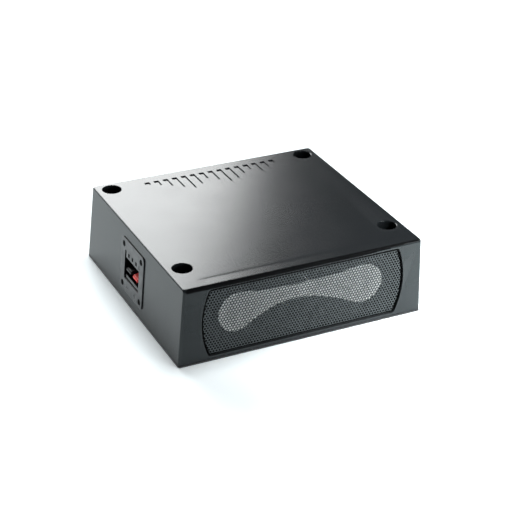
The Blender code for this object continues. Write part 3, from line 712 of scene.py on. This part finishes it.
basket_frame = make("woofer_frame_detail", prism(rounded(-116, 116, -35, 35, 4), 6.5, 9.0), FRONT)
basket = loft(
    [
        race_ring(34.0, 7.5, 66.0),
        race_ring(34.0, 15.0, 66.0),
        race_ring(34.0, 33.7, 0.5),
        race_ring(20.0, 33.7, 0.5),
        race_ring(20.0, 31.2, 0.5),
        race_ring(31.8, 31.2, 0.5),
        race_ring(31.8, 14.6, 66.0),
        race_ring(31.8, 7.5, 66.0),
    ],
    caps=False,
)
carve(basket_frame, basket, FRONT, "UNION")
frame_holes = [rod(x, z, 1.5, 2, 12, 16) for x, z in WOOFER_SCREWS]
carve(basket_frame, joined(prism(racetrack(31.0), 2, 9.6), *frame_holes), FRONT)
for side in (-1, 1):
    for x0, x1 in ((22, 38), (42, 58), (62, 79)):
        lo, hi = sorted((side * x0, side * x1))
        carve(basket_frame, turned(prism(rounded(lo, hi, 12.5, 26, 2, 4), -17, 17), "xzy"), FRONT)
place_on(soften(basket_frame, 0.3), "woofer_frame")

half_roll = [
    (25.2 + 2.6 - 2.6 * math.cos(math.radians(a)), 6.6 + 3.6 * math.sin(math.radians(a)))
    for a in range(0, 181, 15)
]
outside = [(22.6, 6.5), (24.7, 6.5)] + half_roll + [(30.6, 5.4), (33.2, 5.4), (33.2, 6.2), (31.2, 6.2)]
half_back = [
    (27.8 + 3.2 * math.cos(math.radians(a)), 6.9 + 4.1 * math.sin(math.radians(a)))
    for a in range(0, 181, 15)
]
outside += half_back + [(24.4, 7.3), (22.6, 7.3)]
surround = make("woofer_surround_detail", loft([race_ring(h, d) for h, d in outside], caps=False), FRONT)
place_on(soften(surround, 0), "woofer_surround")
surround.data.set_sharp_from_angle(angle=math.radians(50))


def cone_depth(s):
    return RIM_D + (NECK_D - RIM_D) * (1 - s) ** 1.2


def cone_ring(s, behind=0.0):
    return race_ring(NECK_R + (CONE_H - NECK_R) * s, cone_depth(s) + behind, 0.5 + (RACE_C - 0.5) * s)


def cone_place(x, z):
    low, high = 0.0, 1.0
    for _ in range(30):
        s = (low + high) / 2
        c, h = 0.5 + (RACE_C - 0.5) * s, NECK_R + (CONE_H - NECK_R) * s
        low, high = (low, s) if math.hypot(max(abs(x) - c, 0), z) < h else (s, high)
    return (low + high) / 2


stations = [k / 20 for k in range(20, -1, -1)]
cone = make(
    "woofer_diaphragm_detail",
    loft([cone_ring(s) for s in stations] + [cone_ring(s, 1.2) for s in reversed(stations)], caps=False),
    FRONT,
)
place_on(soften(cone, 0.15, 1, 40), "woofer_diaphragm")


# Partly painted light: the pale skin stands for a pale cone face, but its two-lobed, waisted outline is
# traced to the lit patch seen through the grille, so the lit part is painted pale and the rest of the cone is
# left black.
def lobe_half_height(x):
    x = abs(x)
    if x > LOBE_X * WAIST_R / (WAIST_R + LOBE_R):
        return math.sqrt(max(LOBE_R**2 - (x - LOBE_X) ** 2, 0))
    return WAIST + WAIST_R - math.sqrt(WAIST_R**2 - x**2)


def skin_mesh(columns=81, rows=17):
    reach = LOBE_X + LOBE_R - 0.15
    grid = []
    for lift in (0.95, 0.3):
        for i in range(columns):
            x = -reach * math.cos(math.pi * i / (columns - 1))
            half = lobe_half_height(x)
            for j in range(rows):
                across = 2 * j / (rows - 1) - 1
                z = half * across
                tuck = 0.35 * max(abs(across) - 0.85, 0) / 0.15 if lift > 0.5 else 0.0
                grid.append((x, z, cone_depth(cone_place(x, z)) - lift + tuck))
    top = columns * rows
    faces = []
    for i in range(columns - 1):
        for j in range(rows - 1):
            a = i * rows + j
            faces.append((a, a + rows, a + rows + 1, a + 1))
            faces.append((top + a + 1, top + a + rows + 1, top + a + rows, top + a))
    edge = [i * rows for i in range(columns)] + [(columns - 1) * rows + j for j in range(1, rows)]
    edge += [i * rows + rows - 1 for i in range(columns - 2, -1, -1)] + list(range(rows - 2, 0, -1))
    for k, a in enumerate(edge):
        b = edge[(k + 1) % len(edge)]
        faces.append((a, top + a, top + b, b))
    return grid, faces


skin = make("diaphragm_skin_detail", skin_mesh(), FRONT)
soften(skin, 0)
skin.data.set_sharp_from_angle(angle=math.radians(50))
place_on(skin, "diaphragm_skin")

cap_profile = [
    (0, 21.0), (6, 21.02), (11, 21.1), (15.6, 21.3), (15.6, 22.0), (14.8, 22.2), (14.0, 22.0), (0, 21.8)
]
place_on(soften(make("dust_cap_detail", lathe(cap_profile, 64), FRONT), 0.1, 1, 40), "dust_cap")

waves = []
for k in range(41):
    r = 17.0 + 10.0 * k / 40
    waves.append(
        (r, 28.9 + 0.85 * math.cos(math.pi * (r - 17.0) / 1.667) * min(1, (r - 16.9) / 1.5, (27.9 - r) / 1.5))
    )
spider = [(16.3, 28.9)] + waves + [(28.2, 30.1), (31.2, 30.1), (31.2, 30.7), (28.0, 30.7)]
spider += [(r, d + 0.5) for r, d in reversed(waves)] + [(16.3, 29.5)]
cloth = make("woofer_spider_detail", lathe(spider, 72), FRONT)
soften(cloth, 0)
place_on(cloth, "woofer_spider")

former = make(
    "coil_former_detail", lathe([(15.2, 22.5), (16.0, 22.5), (16.0, 44.5), (15.2, 44.5)], 72), FRONT
)
for k in range(6):
    turn = Matrix.Rotation(math.radians(60 * k), 4, "Z")
    carve(former, turned(rod(0, 26.0, 1.5, 12, 18, 16), "zxy"), FRONT @ turn)
place_on(soften(former, 0.1, 1), "coil_former")

coil = [(16.3, 44.3), (16.3, 34.7)]
for k in range(21):
    z = 34.7 + 9.6 * k / 21
    coil += [(17.45, z), (17.72, z + 0.12), (17.8, z + 0.23), (17.72, z + 0.34)]
coil.append((17.45, 44.3))
place_on(soften(make("voice_coil_detail", lathe(coil, 64), FRONT), 0), "voice_coil")

top_plate = [(18.4, 34), (30, 34), (30, 39), (18.4, 39)]
place_on(soften(make("motor_top_plate_detail", lathe(top_plate, 96), FRONT), 0.4, 3), "motor_top_plate")
magnet = [(20, 39.3), (30, 39.3), (31, 40.3), (31, 50.3), (30, 51.3), (20, 51.3)]
place_on(soften(make("ring_magnet_detail", lathe(magnet, 96), FRONT), 0.25, 2), "ring_magnet")
yoke = [
    (5, 34), (14.6, 34), (14.6, 51.6), (29, 51.6), (30, 52.6),
    (30, 57), (16, 57), (15, 56.4), (7, 56.4), (5, 57),
]
place_on(soften(make("motor_yoke_detail", lathe(yoke, 96), FRONT), 0.3, 2), "motor_yoke")

strip = make("lead_strip_detail", prism(rounded(101.0, 108.0, -9, 9, 1), 9.3, 11.3), FRONT)
carve(strip, joined(*[rod(102.3, y, 0.7, 8, 13, 20) for y in (-4.5, 4.5)]), FRONT)
for y in (-4.5, 4.5):
    tab_outline = [
        (y - 2.4, 10.6), (y + 2.4, 10.6), (y + 2.4, 16.3), (y + 1.5, 17.5), (y - 1.5, 17.5), (y - 2.4, 16.3)
    ]
    tab = prism(tab_outline, 103.7, 104.5)
    carve(strip, turned(tab, "zxy"), FRONT, "UNION")
place_on(soften(strip, 0.12), "lead_strip", "board_green", "solder")
paint_where(strip, 1, lambda p: p.y > -HY + 11.4)


# Push terminal

plate_outline = rounded(*([-PLATE / 2, PLATE / 2] * 2), PLATE_R, 10)
cup = make("terminal_cup_detail", prism(plate_outline, 0.3, PLATE_TOP), LEFT)
carve(cup, prism(rounded(-20, 20, -17.3, 17.3, 1.2, 4), -16, 0.9), LEFT, "UNION")
mouth = [(9.6, 4), (9.6, -14.5), (-9.6, -14.5), (-9.6, SILL_Z), (-13.9, SILL_Z), (-13.9, 4)]
carve(cup, turned(prism(mouth, -MOUTH_W, MOUTH_W), "zxy"), LEFT)
groove = [(-MOUTH_W, -13.9), (MOUTH_W, -13.9), (MOUTH_W, -8.0), (16.0, -8.0), (16.0, -12.7)]
groove += [(-16.0, -12.7), (-16.0, -8.0), (-MOUTH_W, -8.0)]
carve(cup, prism(groove, -5.0, 3.0), LEFT)
comb = [block((t - 1.6, 11.9, -6.0), (t + 1.6, 15.7, 4)) for t in (-8.2, 0.8, 9.8)]
comb += [block((-MOUTH_W, 8.0, -6.0), (-14.5, 16.2, 4)), block((16.4, 12.0, 0.6), (18.6, 15.6, 4))]
carve(cup, joined(*comb), LEFT)
seat = [(0, -4), (1.7, -4), (1.7, 0.45), (3.2, 0.45), (3.2, 4), (0, 4)]
screw_seats = [lathe(seat, 32, (sx * TERM_SCREW, sy * TERM_SCREW)) for sx in (-1, 1) for sy in (-1, 1)]
carve(cup, joined(*screw_seats), LEFT)
carve(cup, turned(rod(*LEVER_AXIS, 1.3, -19.3, 19.3, 24), "zxy"), LEFT)
carve(cup, joined(*[block((t - 2.6, -7.1, -20), (t + 2.6, -5.7, -13)) for t in (-BLADE_T, BLADE_T)]), LEFT)
marks = [block((-11.0, -21.6, 0.75), (-6.2, -20.6, 3)), block((7.5, -21.6, 0.75), (12.3, -20.6, 3))]
carve(cup, joined(*marks), LEFT)
carve(cup, block((9.4, -23.5, 0.75), (10.4, -18.7, 3.1)), LEFT)
place_on(soften(cup, 0.15), "terminal_cup", "plate_grey", "edge_shade")
to_left = LEFT.inverted()


# Painted shade: the faces inside the terminal mouth and its slots, behind the plate face, get the near-black
# edge_shade for the shade in the recess.
def mouth_painted_shade(p):
    t, y, z = to_left @ Vector(p)
    return abs(t) < MOUTH_W + 0.3 and -14.1 < y < 16.4 and z < 0.0 and abs(z - SILL_Z) > 0.1


paint_where(cup, 1, mouth_painted_shade)

LEVER = [(-1.6, 0.3), (-2.1, 0.6), (-3.8, 0.6), (-4.4, 0.2), (-4.6, -0.6), (-2.4, -9.6), (-2.2, -11.8)]
LEVER += [(-1.2, -12.9), (0.0, -13.3), (1.2, -13.0), (2.2, -12.0), (2.3, -11.0), (-0.8, -0.4)]
for colour, side in (("black", -1), ("red", 1)):
    lo = LEVER_IN if side > 0 else -LEVER_IN - LEVER_W
    lever = make(f"lever_{colour}_detail", turned(prism(LEVER, lo, lo + LEVER_W), "zxy"), LEFT)
    carve(lever, turned(rod(*LEVER_AXIS, 1.3, lo - 3, lo + LEVER_W + 3, 24), "zxy"), LEFT)
    room = lo + LEVER_W - 5.1 if side > 0 else lo - 0.1
    carve(lever, block((room, -9, -16), (room + 5.2, 5, -7.6)), LEFT)
    grips = [
        turned(rod(-0.05 - 0.29 * g + 0.28, -2.2 + g, 0.3, lo + 2, lo + LEVER_W - 2, 10), "zxy")
        for g in (0, -1.2, -2.4)
    ]
    carve(lever, joined(*grips), LEFT)
    place_on(soften(lever, 0.28, 3), f"lever_{colour}")
    helix = [(room + 0.9, -6.8, -10.2)]
    for k in range(97):
        a = math.radians(180 + 11.25 * k)
        helix.append((room + 0.9 + 3.4 * k / 96, 2.0 * math.cos(a), -11 + 2.0 * math.sin(a)))
    helix.append((room + 4.3, -3.8, -8.4))
    spring = make(f"lever_spring_{colour}_detail", swept(helix, 0.33, 10), LEFT)
    place_on(soften(spring, 0), f"lever_spring_{colour}")
    blade = ((-6.8, -26), (-6.0, -26), (-6.0, -10.6), (-5.2, -9.8), (-5.8, -9.2), (-6.8, -10.2))
    blade_lo = side * BLADE_T - 2.3
    contact = make(f"contact_{colour}_detail", turned(prism(blade, blade_lo, blade_lo + 4.6), "zxy"), LEFT)
    carve(contact, turned(rod(side * BLADE_T, -23.5, 0.9, -9, -3, 20), "xzy"), LEFT)
    place_on(soften(contact, 0.12), f"contact_{colour}")
pin = [(0, -19.0), (0.7, -19.0), (1.0, -18.7), (1.0, 18.7), (0.7, 19.0), (0, 19.0)]
axle = make("terminal_axle_detail", turned(lathe(pin, 32, LEVER_AXIS), "zxy"), LEFT)
place_on(soften(axle, 0.05, 1), "terminal_axle")


# Control panel and amplifier

panel = make("rear_panel_detail", prism(rounded(-83, 83, -29, 29, 2), -5.3, -3.3), REAR)
cuts = [
    block((-70.3, -8.3, -9), (-39.7, 8.3, 0)),
    block((-34.3, -9.3, -9), (-19.7, 9.3, 0)),
    block((29.7, -2.3, -9), (37.1, 2.3, 0)),
    rod(-10, 10, 1.7, -9, 0, 24),
]
cuts += [rod(t, 0, 3.4, -9, 0, 40) for t in KNOBS.values()]
cuts += [rod(t, -2, 4.6, -9, 0, 40) for t in JACKS.values()]
cuts += [rod(x, y, 1.7, -9, 0, 20) for x, y in REAR_SCREWS]
carve(panel, joined(*cuts), REAR)
ticks = []
for t in KNOBS.values():
    for step in range(11):
        a = math.radians(-135 + 27 * step)
        ticks.append(rod(t + 8.3 * math.sin(a), 8.3 * math.cos(a), 0.42, -3.6, -3.15, 14))


def jack_ring(t):
    """A thin raised ring round a line jack, just proud of the rear panel."""
    turns = [math.radians(a) for a in range(0, 360, 10)]
    path = [(t + 6.4 * math.cos(a), 6.4 * math.sin(a) - 2, 0) for a in turns]
    points, faces = turned(swept(path, 0.22, 6, True), "xyz")
    return [(x, y, z - 3.25) for x, y, z in points], faces


ticks += [jack_ring(t) for t in JACKS.values()]
carve(panel, joined(*ticks), REAR, "UNION")
to_rear = REAR.inverted()
place_on(soften(panel, 0.1, 1), "rear_panel", "panel_black", "legend_pale")
paint_where(panel, 1, lambda p: (to_rear @ Vector(p)).z > -3.29)

inlet = make("power_inlet_detail", prism(rounded(-70, -40, -8, 8, 1, 5), -18, -0.8), REAR)
carve(inlet, prism(rounded(-68, -42, -6, 6, 0.6, 3), -12, 2), REAR)
pins = [prism(rounded(t - 2.6, t + 2.6, -0.45, 0.45, 0.3, 3), -12.4, -5.0) for t in (-63, -55, -47)]
carve(inlet, joined(*pins), REAR, "UNION")
place_on(soften(inlet, 0.18), "power_inlet", "plastic_black", "brass")


def on_pin(p):
    t, y, z = to_rear @ Vector(p)
    return abs(y) < 0.7 and -11.95 < z < -4.5 and min(abs(t + c) for c in (63, 55, 47)) < 3


paint_where(inlet, 1, on_pin)
holder = make("fuse_holder_detail", prism(rounded(-34, -20, -9, 9, 1, 5), -18, -2.0), REAR)
carve(holder, block((-30, -7, -14), (-24, 7, 2)), REAR)
place_on(soften(holder, 0.2), "fuse_holder")
fuse_outline = [(-6.5, -13), (-4, -13), (-4, -7), (4, -7), (4, -13), (6.5, -13), (6.5, -0.8), (-6.5, -0.8)]
fuse = make("blade_fuse_detail", turned(prism(fuse_outline, -28.9, -25.1), "zxy"), REAR)
carve(fuse, block((-27.6, -4.6, -3.4), (-26.4, 4.6, 1)), REAR)
place_on(soften(fuse, 0.2), "blade_fuse", "fuse_amber", "solder")
paint_where(fuse, 1, lambda p: (to_rear @ Vector(p)).z < -7.1)
for side, t in JACKS.items():
    barrel = [(1.6, -18), (4.2, -18), (4.2, -3.0), (5.2, -3.0), (5.6, -2.8), (5.6, -2.2), (4.2, -2.2)]
    barrel += [(4.2, -0.9)]
    barrel += [(4.0, -0.7), (3.6, -0.7), (3.4, -0.9), (3.4, -5.6), (2.0, -5.6), (1.6, -6)]
    jack = make(f"line_jack_{side}_detail", lathe(barrel, 48, (t, -2)), REAR)
    place_on(soften(jack, 0.06, 1, 40), f"line_jack_{side}", "brass", "jack_insulator")
    paint_where(jack, 1, lambda p: -6.3 < (to_rear @ Vector(p)).z < -5.5)
for name, t in KNOBS.items():
    knurl = []
    for k in range(96):
        a = 2 * math.pi * k / 96
        r = 6.0 - (0.28 if k % 4 in (0, 1) else 0.0)
        knurl.append((t + r * math.cos(a), r * math.sin(a)))
    knob = make(f"{name}_knob_detail", prism(knurl, -3.0, -1.2), REAR)
    crown = [(0, -11.5), (2.8, -11.5), (2.8, -2.8), (5.6, -2.8), (5.6, -1.1), (5.2, -0.7), (4.9, -0.6)]
    crown += [(0, -0.6)]
    carve(knob, lathe(crown, 96, (t, 0)), REAR, "UNION")
    carve(knob, block((t - 0.45, 2.0, -0.95), (t + 0.45, 8, 1)), REAR)
    place_on(soften(knob, 0.08, 1), f"{name}_knob", "plastic_black", "legend_pale")
    paint_where(
        knob,
        1,
        lambda p, t=t: -1.0 < (to_rear @ Vector(p)).z < -0.9 and abs((to_rear @ Vector(p)).x - t) < 0.6,
    )
    pot = [(3.1, -5.6), (7.6, -5.6), (8.0, -6.0), (8.0, -12.6), (7.6, -13.0), (0, -13.0), (0, -11.9)]
    pot += [(3.1, -11.9)]
    can = make(f"{name}_pot_detail", lathe(pot, 48, (t, 0)), REAR)
    legs = [block((t + d - 0.5, -8.4, -12.4), (t + d + 0.5, -6.5, -11.6)) for d in (-2.5, 0, 2.5)]
    carve(can, joined(*legs), REAR, "UNION")
    place_on(soften(can, 0.12), f"{name}_pot")
slider = [(-3.2, -7.2), (3.2, -7.2), (3.2, -5.6), (2.0, -5.6), (2.0, -1.8), (1.2, -1.8), (1.2, -2.2)]
slider += [(0.5, -2.2), (0.5, -1.8), (-0.5, -1.8), (-0.5, -2.2), (-1.2, -2.2), (-1.2, -1.8), (-2.0, -1.8)]
slider += [(-2.0, -5.6), (-3.2, -5.6)]
tab = make("phase_slider_detail", turned(prism([(32.2 + x, z) for x, z in slider], -1.6, 1.6), "xzy"), REAR)
place_on(soften(tab, 0.1), "phase_slider")
switch = make("phase_switch_body_detail", prism(rounded(25.5, 37.9, -4, 4, 0.5, 3), -13.5, -7.5), REAR)
carve(switch, joined(*[block((x, -5, -12.6), (x + 1.2, 5, -11.8)) for x in (27, 31, 35)]), REAR)
place_on(soften(switch, 0.12), "phase_switch_body")
lamp = [(0, -9), (1.7, -9), (1.7, -8.2), (1.4, -8.2), (1.4, -3.6)]
lamp += [
    (1.4 * math.cos(math.radians(a)), -3.6 + 1.3 * math.sin(math.radians(a))) for a in range(15, 90, 15)
]
lamp += [(0, -2.3)]
place_on(soften(make("power_led_detail", lathe(lamp, 32, (-10, 10)), REAR), 0), "power_led")

board = make("circuit_board_detail", prism(rounded(-78, 78, -27, 27, 2, 6), -20.6, -19.0), REAR)
carve(board, joined(*[rod(sx * 74, sy * 23, 1.6, -22, -18, 20) for sx in (-1, 1) for sy in (-1, 1)]), REAR)
parts = []
for k in range(14):
    parts.append(block((-70 + 5.4 * k, 20, -19.2), (-67.2 + 5.4 * k, 21.6, -18.2)))
    parts.append(block((8 + 4.6 * k, -22.5, -19.2), (10 + 4.6 * k, -21.1, -18.3)))
parts += [block((-52, -24, -19.2), (-40, -14, -17.6)), block((-30, -24, -19.2), (-20, -16, -17.4))]
carve(board, joined(*parts), REAR, "UNION")
place_on(soften(board, 0.08, 1), "circuit_board", "board_green", "plastic_black")
paint_where(board, 1, lambda p: (to_rear @ Vector(p)).z > -18.95)

chip = make("amp_chip_detail", prism(rounded(-12, 12, -9, 9, 0.6, 4), -25.2, -21.5), REAR)
chip_legs = [block((-11.2 + 2.4 * k, -10.2, -22.6), (-10.2 + 2.4 * k, 10.2, -20.9)) for k in range(10)]
carve(chip, joined(*chip_legs), REAR, "UNION")
carve(chip, rod(-9.5, 6.5, 1.0, -25.6, -25.0, 24), REAR)
place_on(soften(chip, 0.15), "amp_chip", "plastic_black", "solder")
paint_where(chip, 1, lambda p: abs((to_rear @ Vector(p)).y) > 9.1 or (to_rear @ Vector(p)).z > -21.4)

fins = [(-34, -25.5), (34, -25.5)]
for k in range(9):
    x = 34 - 8.125 * k
    fins += [(x, -39.4), (x - 0.6, -40), (x - 2.4, -40), (x - 3, -39.4)]
    if k < 8:
        fins += [(x - 3, -29), (x - 8.125, -29)]
sink = make("heat_sink_detail", turned(prism(fins, -22, 22), "xzy"), REAR)
carve(sink, joined(*[rod(x, y, 1.6, -41, -24, 20) for x in (-28.2, 28.2) for y in (-17, 17)]), REAR)
place_on(soften(sink, 0.25), "heat_sink")

loops = []
core = [
    (9 + 2.5 * math.cos(math.radians(a)), -24.8 + 2.5 * math.sin(math.radians(a))) for a in range(0, 360, 30)
]
loops.append(lathe(core, 48, (55, -12)))
winding = []
for k in range(0, 24 * 16):
    around, over = 2 * math.pi * k / (24 * 16) * 0.94, 2 * math.pi * k / 16
    r = 9 + 3.0 * math.cos(over)
    winding.append((55 + r * math.cos(around), -12 + r * math.sin(around), -24.8 + 3.0 * math.sin(over)))
loops.append(swept(winding, 0.55, 8))
place_on(soften(make("choke_toroid_detail", joined(*loops), REAR), 0), "choke_toroid")

for number, t in enumerate((-55.0, 55.0), 1):
    y = 6.0 if t < 0 else 12.5
    can_profile = [(0, -20.9), (7.4, -20.9), (7.9, -21.4), (8.0, -22.4), (7.5, -23.2), (8.0, -24.0)]
    can_profile += [(8.0, -45.0)]
    can_profile += [(7.6, -45.8), (7.2, -46.0), (6.6, -45.7), (0, -45.7)]
    can = make(f"capacitor_{number}_detail", lathe(can_profile, 64, (t, y)), REAR)
    vents = (
        block((t - 5, y - 0.25, -47), (t + 5, y + 0.25, -45.4)),
        block((t - 0.25, y - 5, -47.1), (t + 0.25, y + 5, -45.41)),
    )
    for vent in vents:
        carve(can, vent, REAR)
    place_on(soften(can, 0.15), f"capacitor_{number}", "can_sleeve", "alloy", "legend_pale")
    paint_where(can, 1, lambda p: (to_rear @ Vector(p)).z < -45.3)
    paint_where(can, 2, lambda p, t=t: (to_rear @ Vector(p)).x - t > 7.2 and (to_rear @ Vector(p)).z > -44.9)

for name, node in frame["nodes"].items():
    if not node.hide_render:
        raise RuntimeError(f"{name} has no finished piece")


# Studio: pale floor, one large soft light behind on the left, soft light overhead and from the right

floor_mesh = bpy.data.meshes.new("studio_floor")
floor_mesh.from_pydata([(-6, -6, 0), (6, -6, 0), (6, 6, 0), (-6, 6, 0)], [], [(0, 1, 2, 3)])
studio_floor = bpy.data.objects.new("studio_floor", floor_mesh)
studio_floor.location = (0, 0, -0.0002)
bpy.context.scene.collection.objects.link(studio_floor)
floor_look = bpy.data.materials.new("studio_floor")
floor_look.use_nodes = True
floor_shader = floor_look.node_tree.nodes["Principled BSDF"]
floor_shader.inputs["Base Color"].default_value = (0.80, 0.87, 0.89, 1)
floor_shader.inputs["Roughness"].default_value = 0.9
floor_shader.inputs["Specular IOR Level"].default_value = 0.1
floor_shader.inputs["Emission Color"].default_value = (1, 1, 1, 1)
floor_shader.inputs["Emission Strength"].default_value = 0.15
floor_mesh.materials.append(floor_look)


def area_light(name, place, target, size, power, size_y=None, roll=0.0, mirrored=True):
    data = bpy.data.lights.new(name, "AREA")
    data.shape = "RECTANGLE"
    data.size = size
    data.size_y = size_y or size
    data.energy = power
    made = bpy.data.objects.new(name, data)
    aim = (Vector(target) - Vector(place)).to_track_quat("-Z", "Y").to_matrix().to_4x4()
    made.matrix_world = Matrix.Translation(place) @ aim @ Matrix.Rotation(math.radians(roll), 4, "Z")
    made.visible_glossy = mirrored
    bpy.context.scene.collection.objects.link(made)
    return made


area_light("back_softbox", (-0.046, 2.15, 1.20), (-0.046, 0, 0.05), 1.9, 101, 1.6, -30)
area_light("front_softbox", (0.85, -2.1, 0.40), (0, 0, 0.04), 1.3, 40, 0.6, mirrored=False)
area_light("overhead_softbox", (0.50, 0.1, 2.3), (0, 0, 0), 0.9, 36, mirrored=False)
pool_data = bpy.data.lights.new("floor_pool", "SPOT")
pool_data.energy = 205
pool_data.spot_size = math.radians(28)
pool_data.spot_blend = 1.0
pool_data.shadow_soft_size = 0.12
pool = bpy.data.objects.new("floor_pool", pool_data)
pool.location = (0.55, -0.85, 0.75)
pool.rotation_euler = (Vector((0.23, -0.24, 0.0)) - pool.location).to_track_quat("-Z", "Y").to_euler()
bpy.context.scene.collection.objects.link(pool)

studio = bpy.data.worlds.new("studio")
studio.use_nodes = True
studio.node_tree.nodes["Background"].inputs["Color"].default_value = (0.9, 0.95, 1.0, 1)
studio.node_tree.nodes["Background"].inputs["Strength"].default_value = 0.06
bpy.context.scene.world = studio
bpy.context.scene.view_settings.view_transform = "Standard"


# Camera: seen from the front left and above

TURN, PITCH, ROLL = math.radians(27.14), math.radians(28.79), math.radians(-1.86)
BASE_WIDTH = 2 * HX * MM
SHIFT = Vector((-0.0263, 5.6116, -0.1019)) * BASE_WIDTH
view = Matrix.Rotation(-ROLL, 3, "Y") @ Matrix.Rotation(PITCH, 3, "X") @ Matrix.Rotation(TURN, 3, "Z")
eye = -(view.transposed() @ SHIFT)
camera_data = bpy.data.cameras.new("camera")
camera_data.sensor_width = 36.0
camera_data.lens = 100.8
camera_data.clip_start, camera_data.clip_end = 0.05, 50.0
camera = bpy.data.objects.new("camera", camera_data)
axes = Matrix((view[0], view[2], -view[1])).transposed()
camera.matrix_world = Matrix.Translation(eye) @ axes.to_4x4()
bpy.context.scene.collection.objects.link(camera)
bpy.context.scene.camera = camera
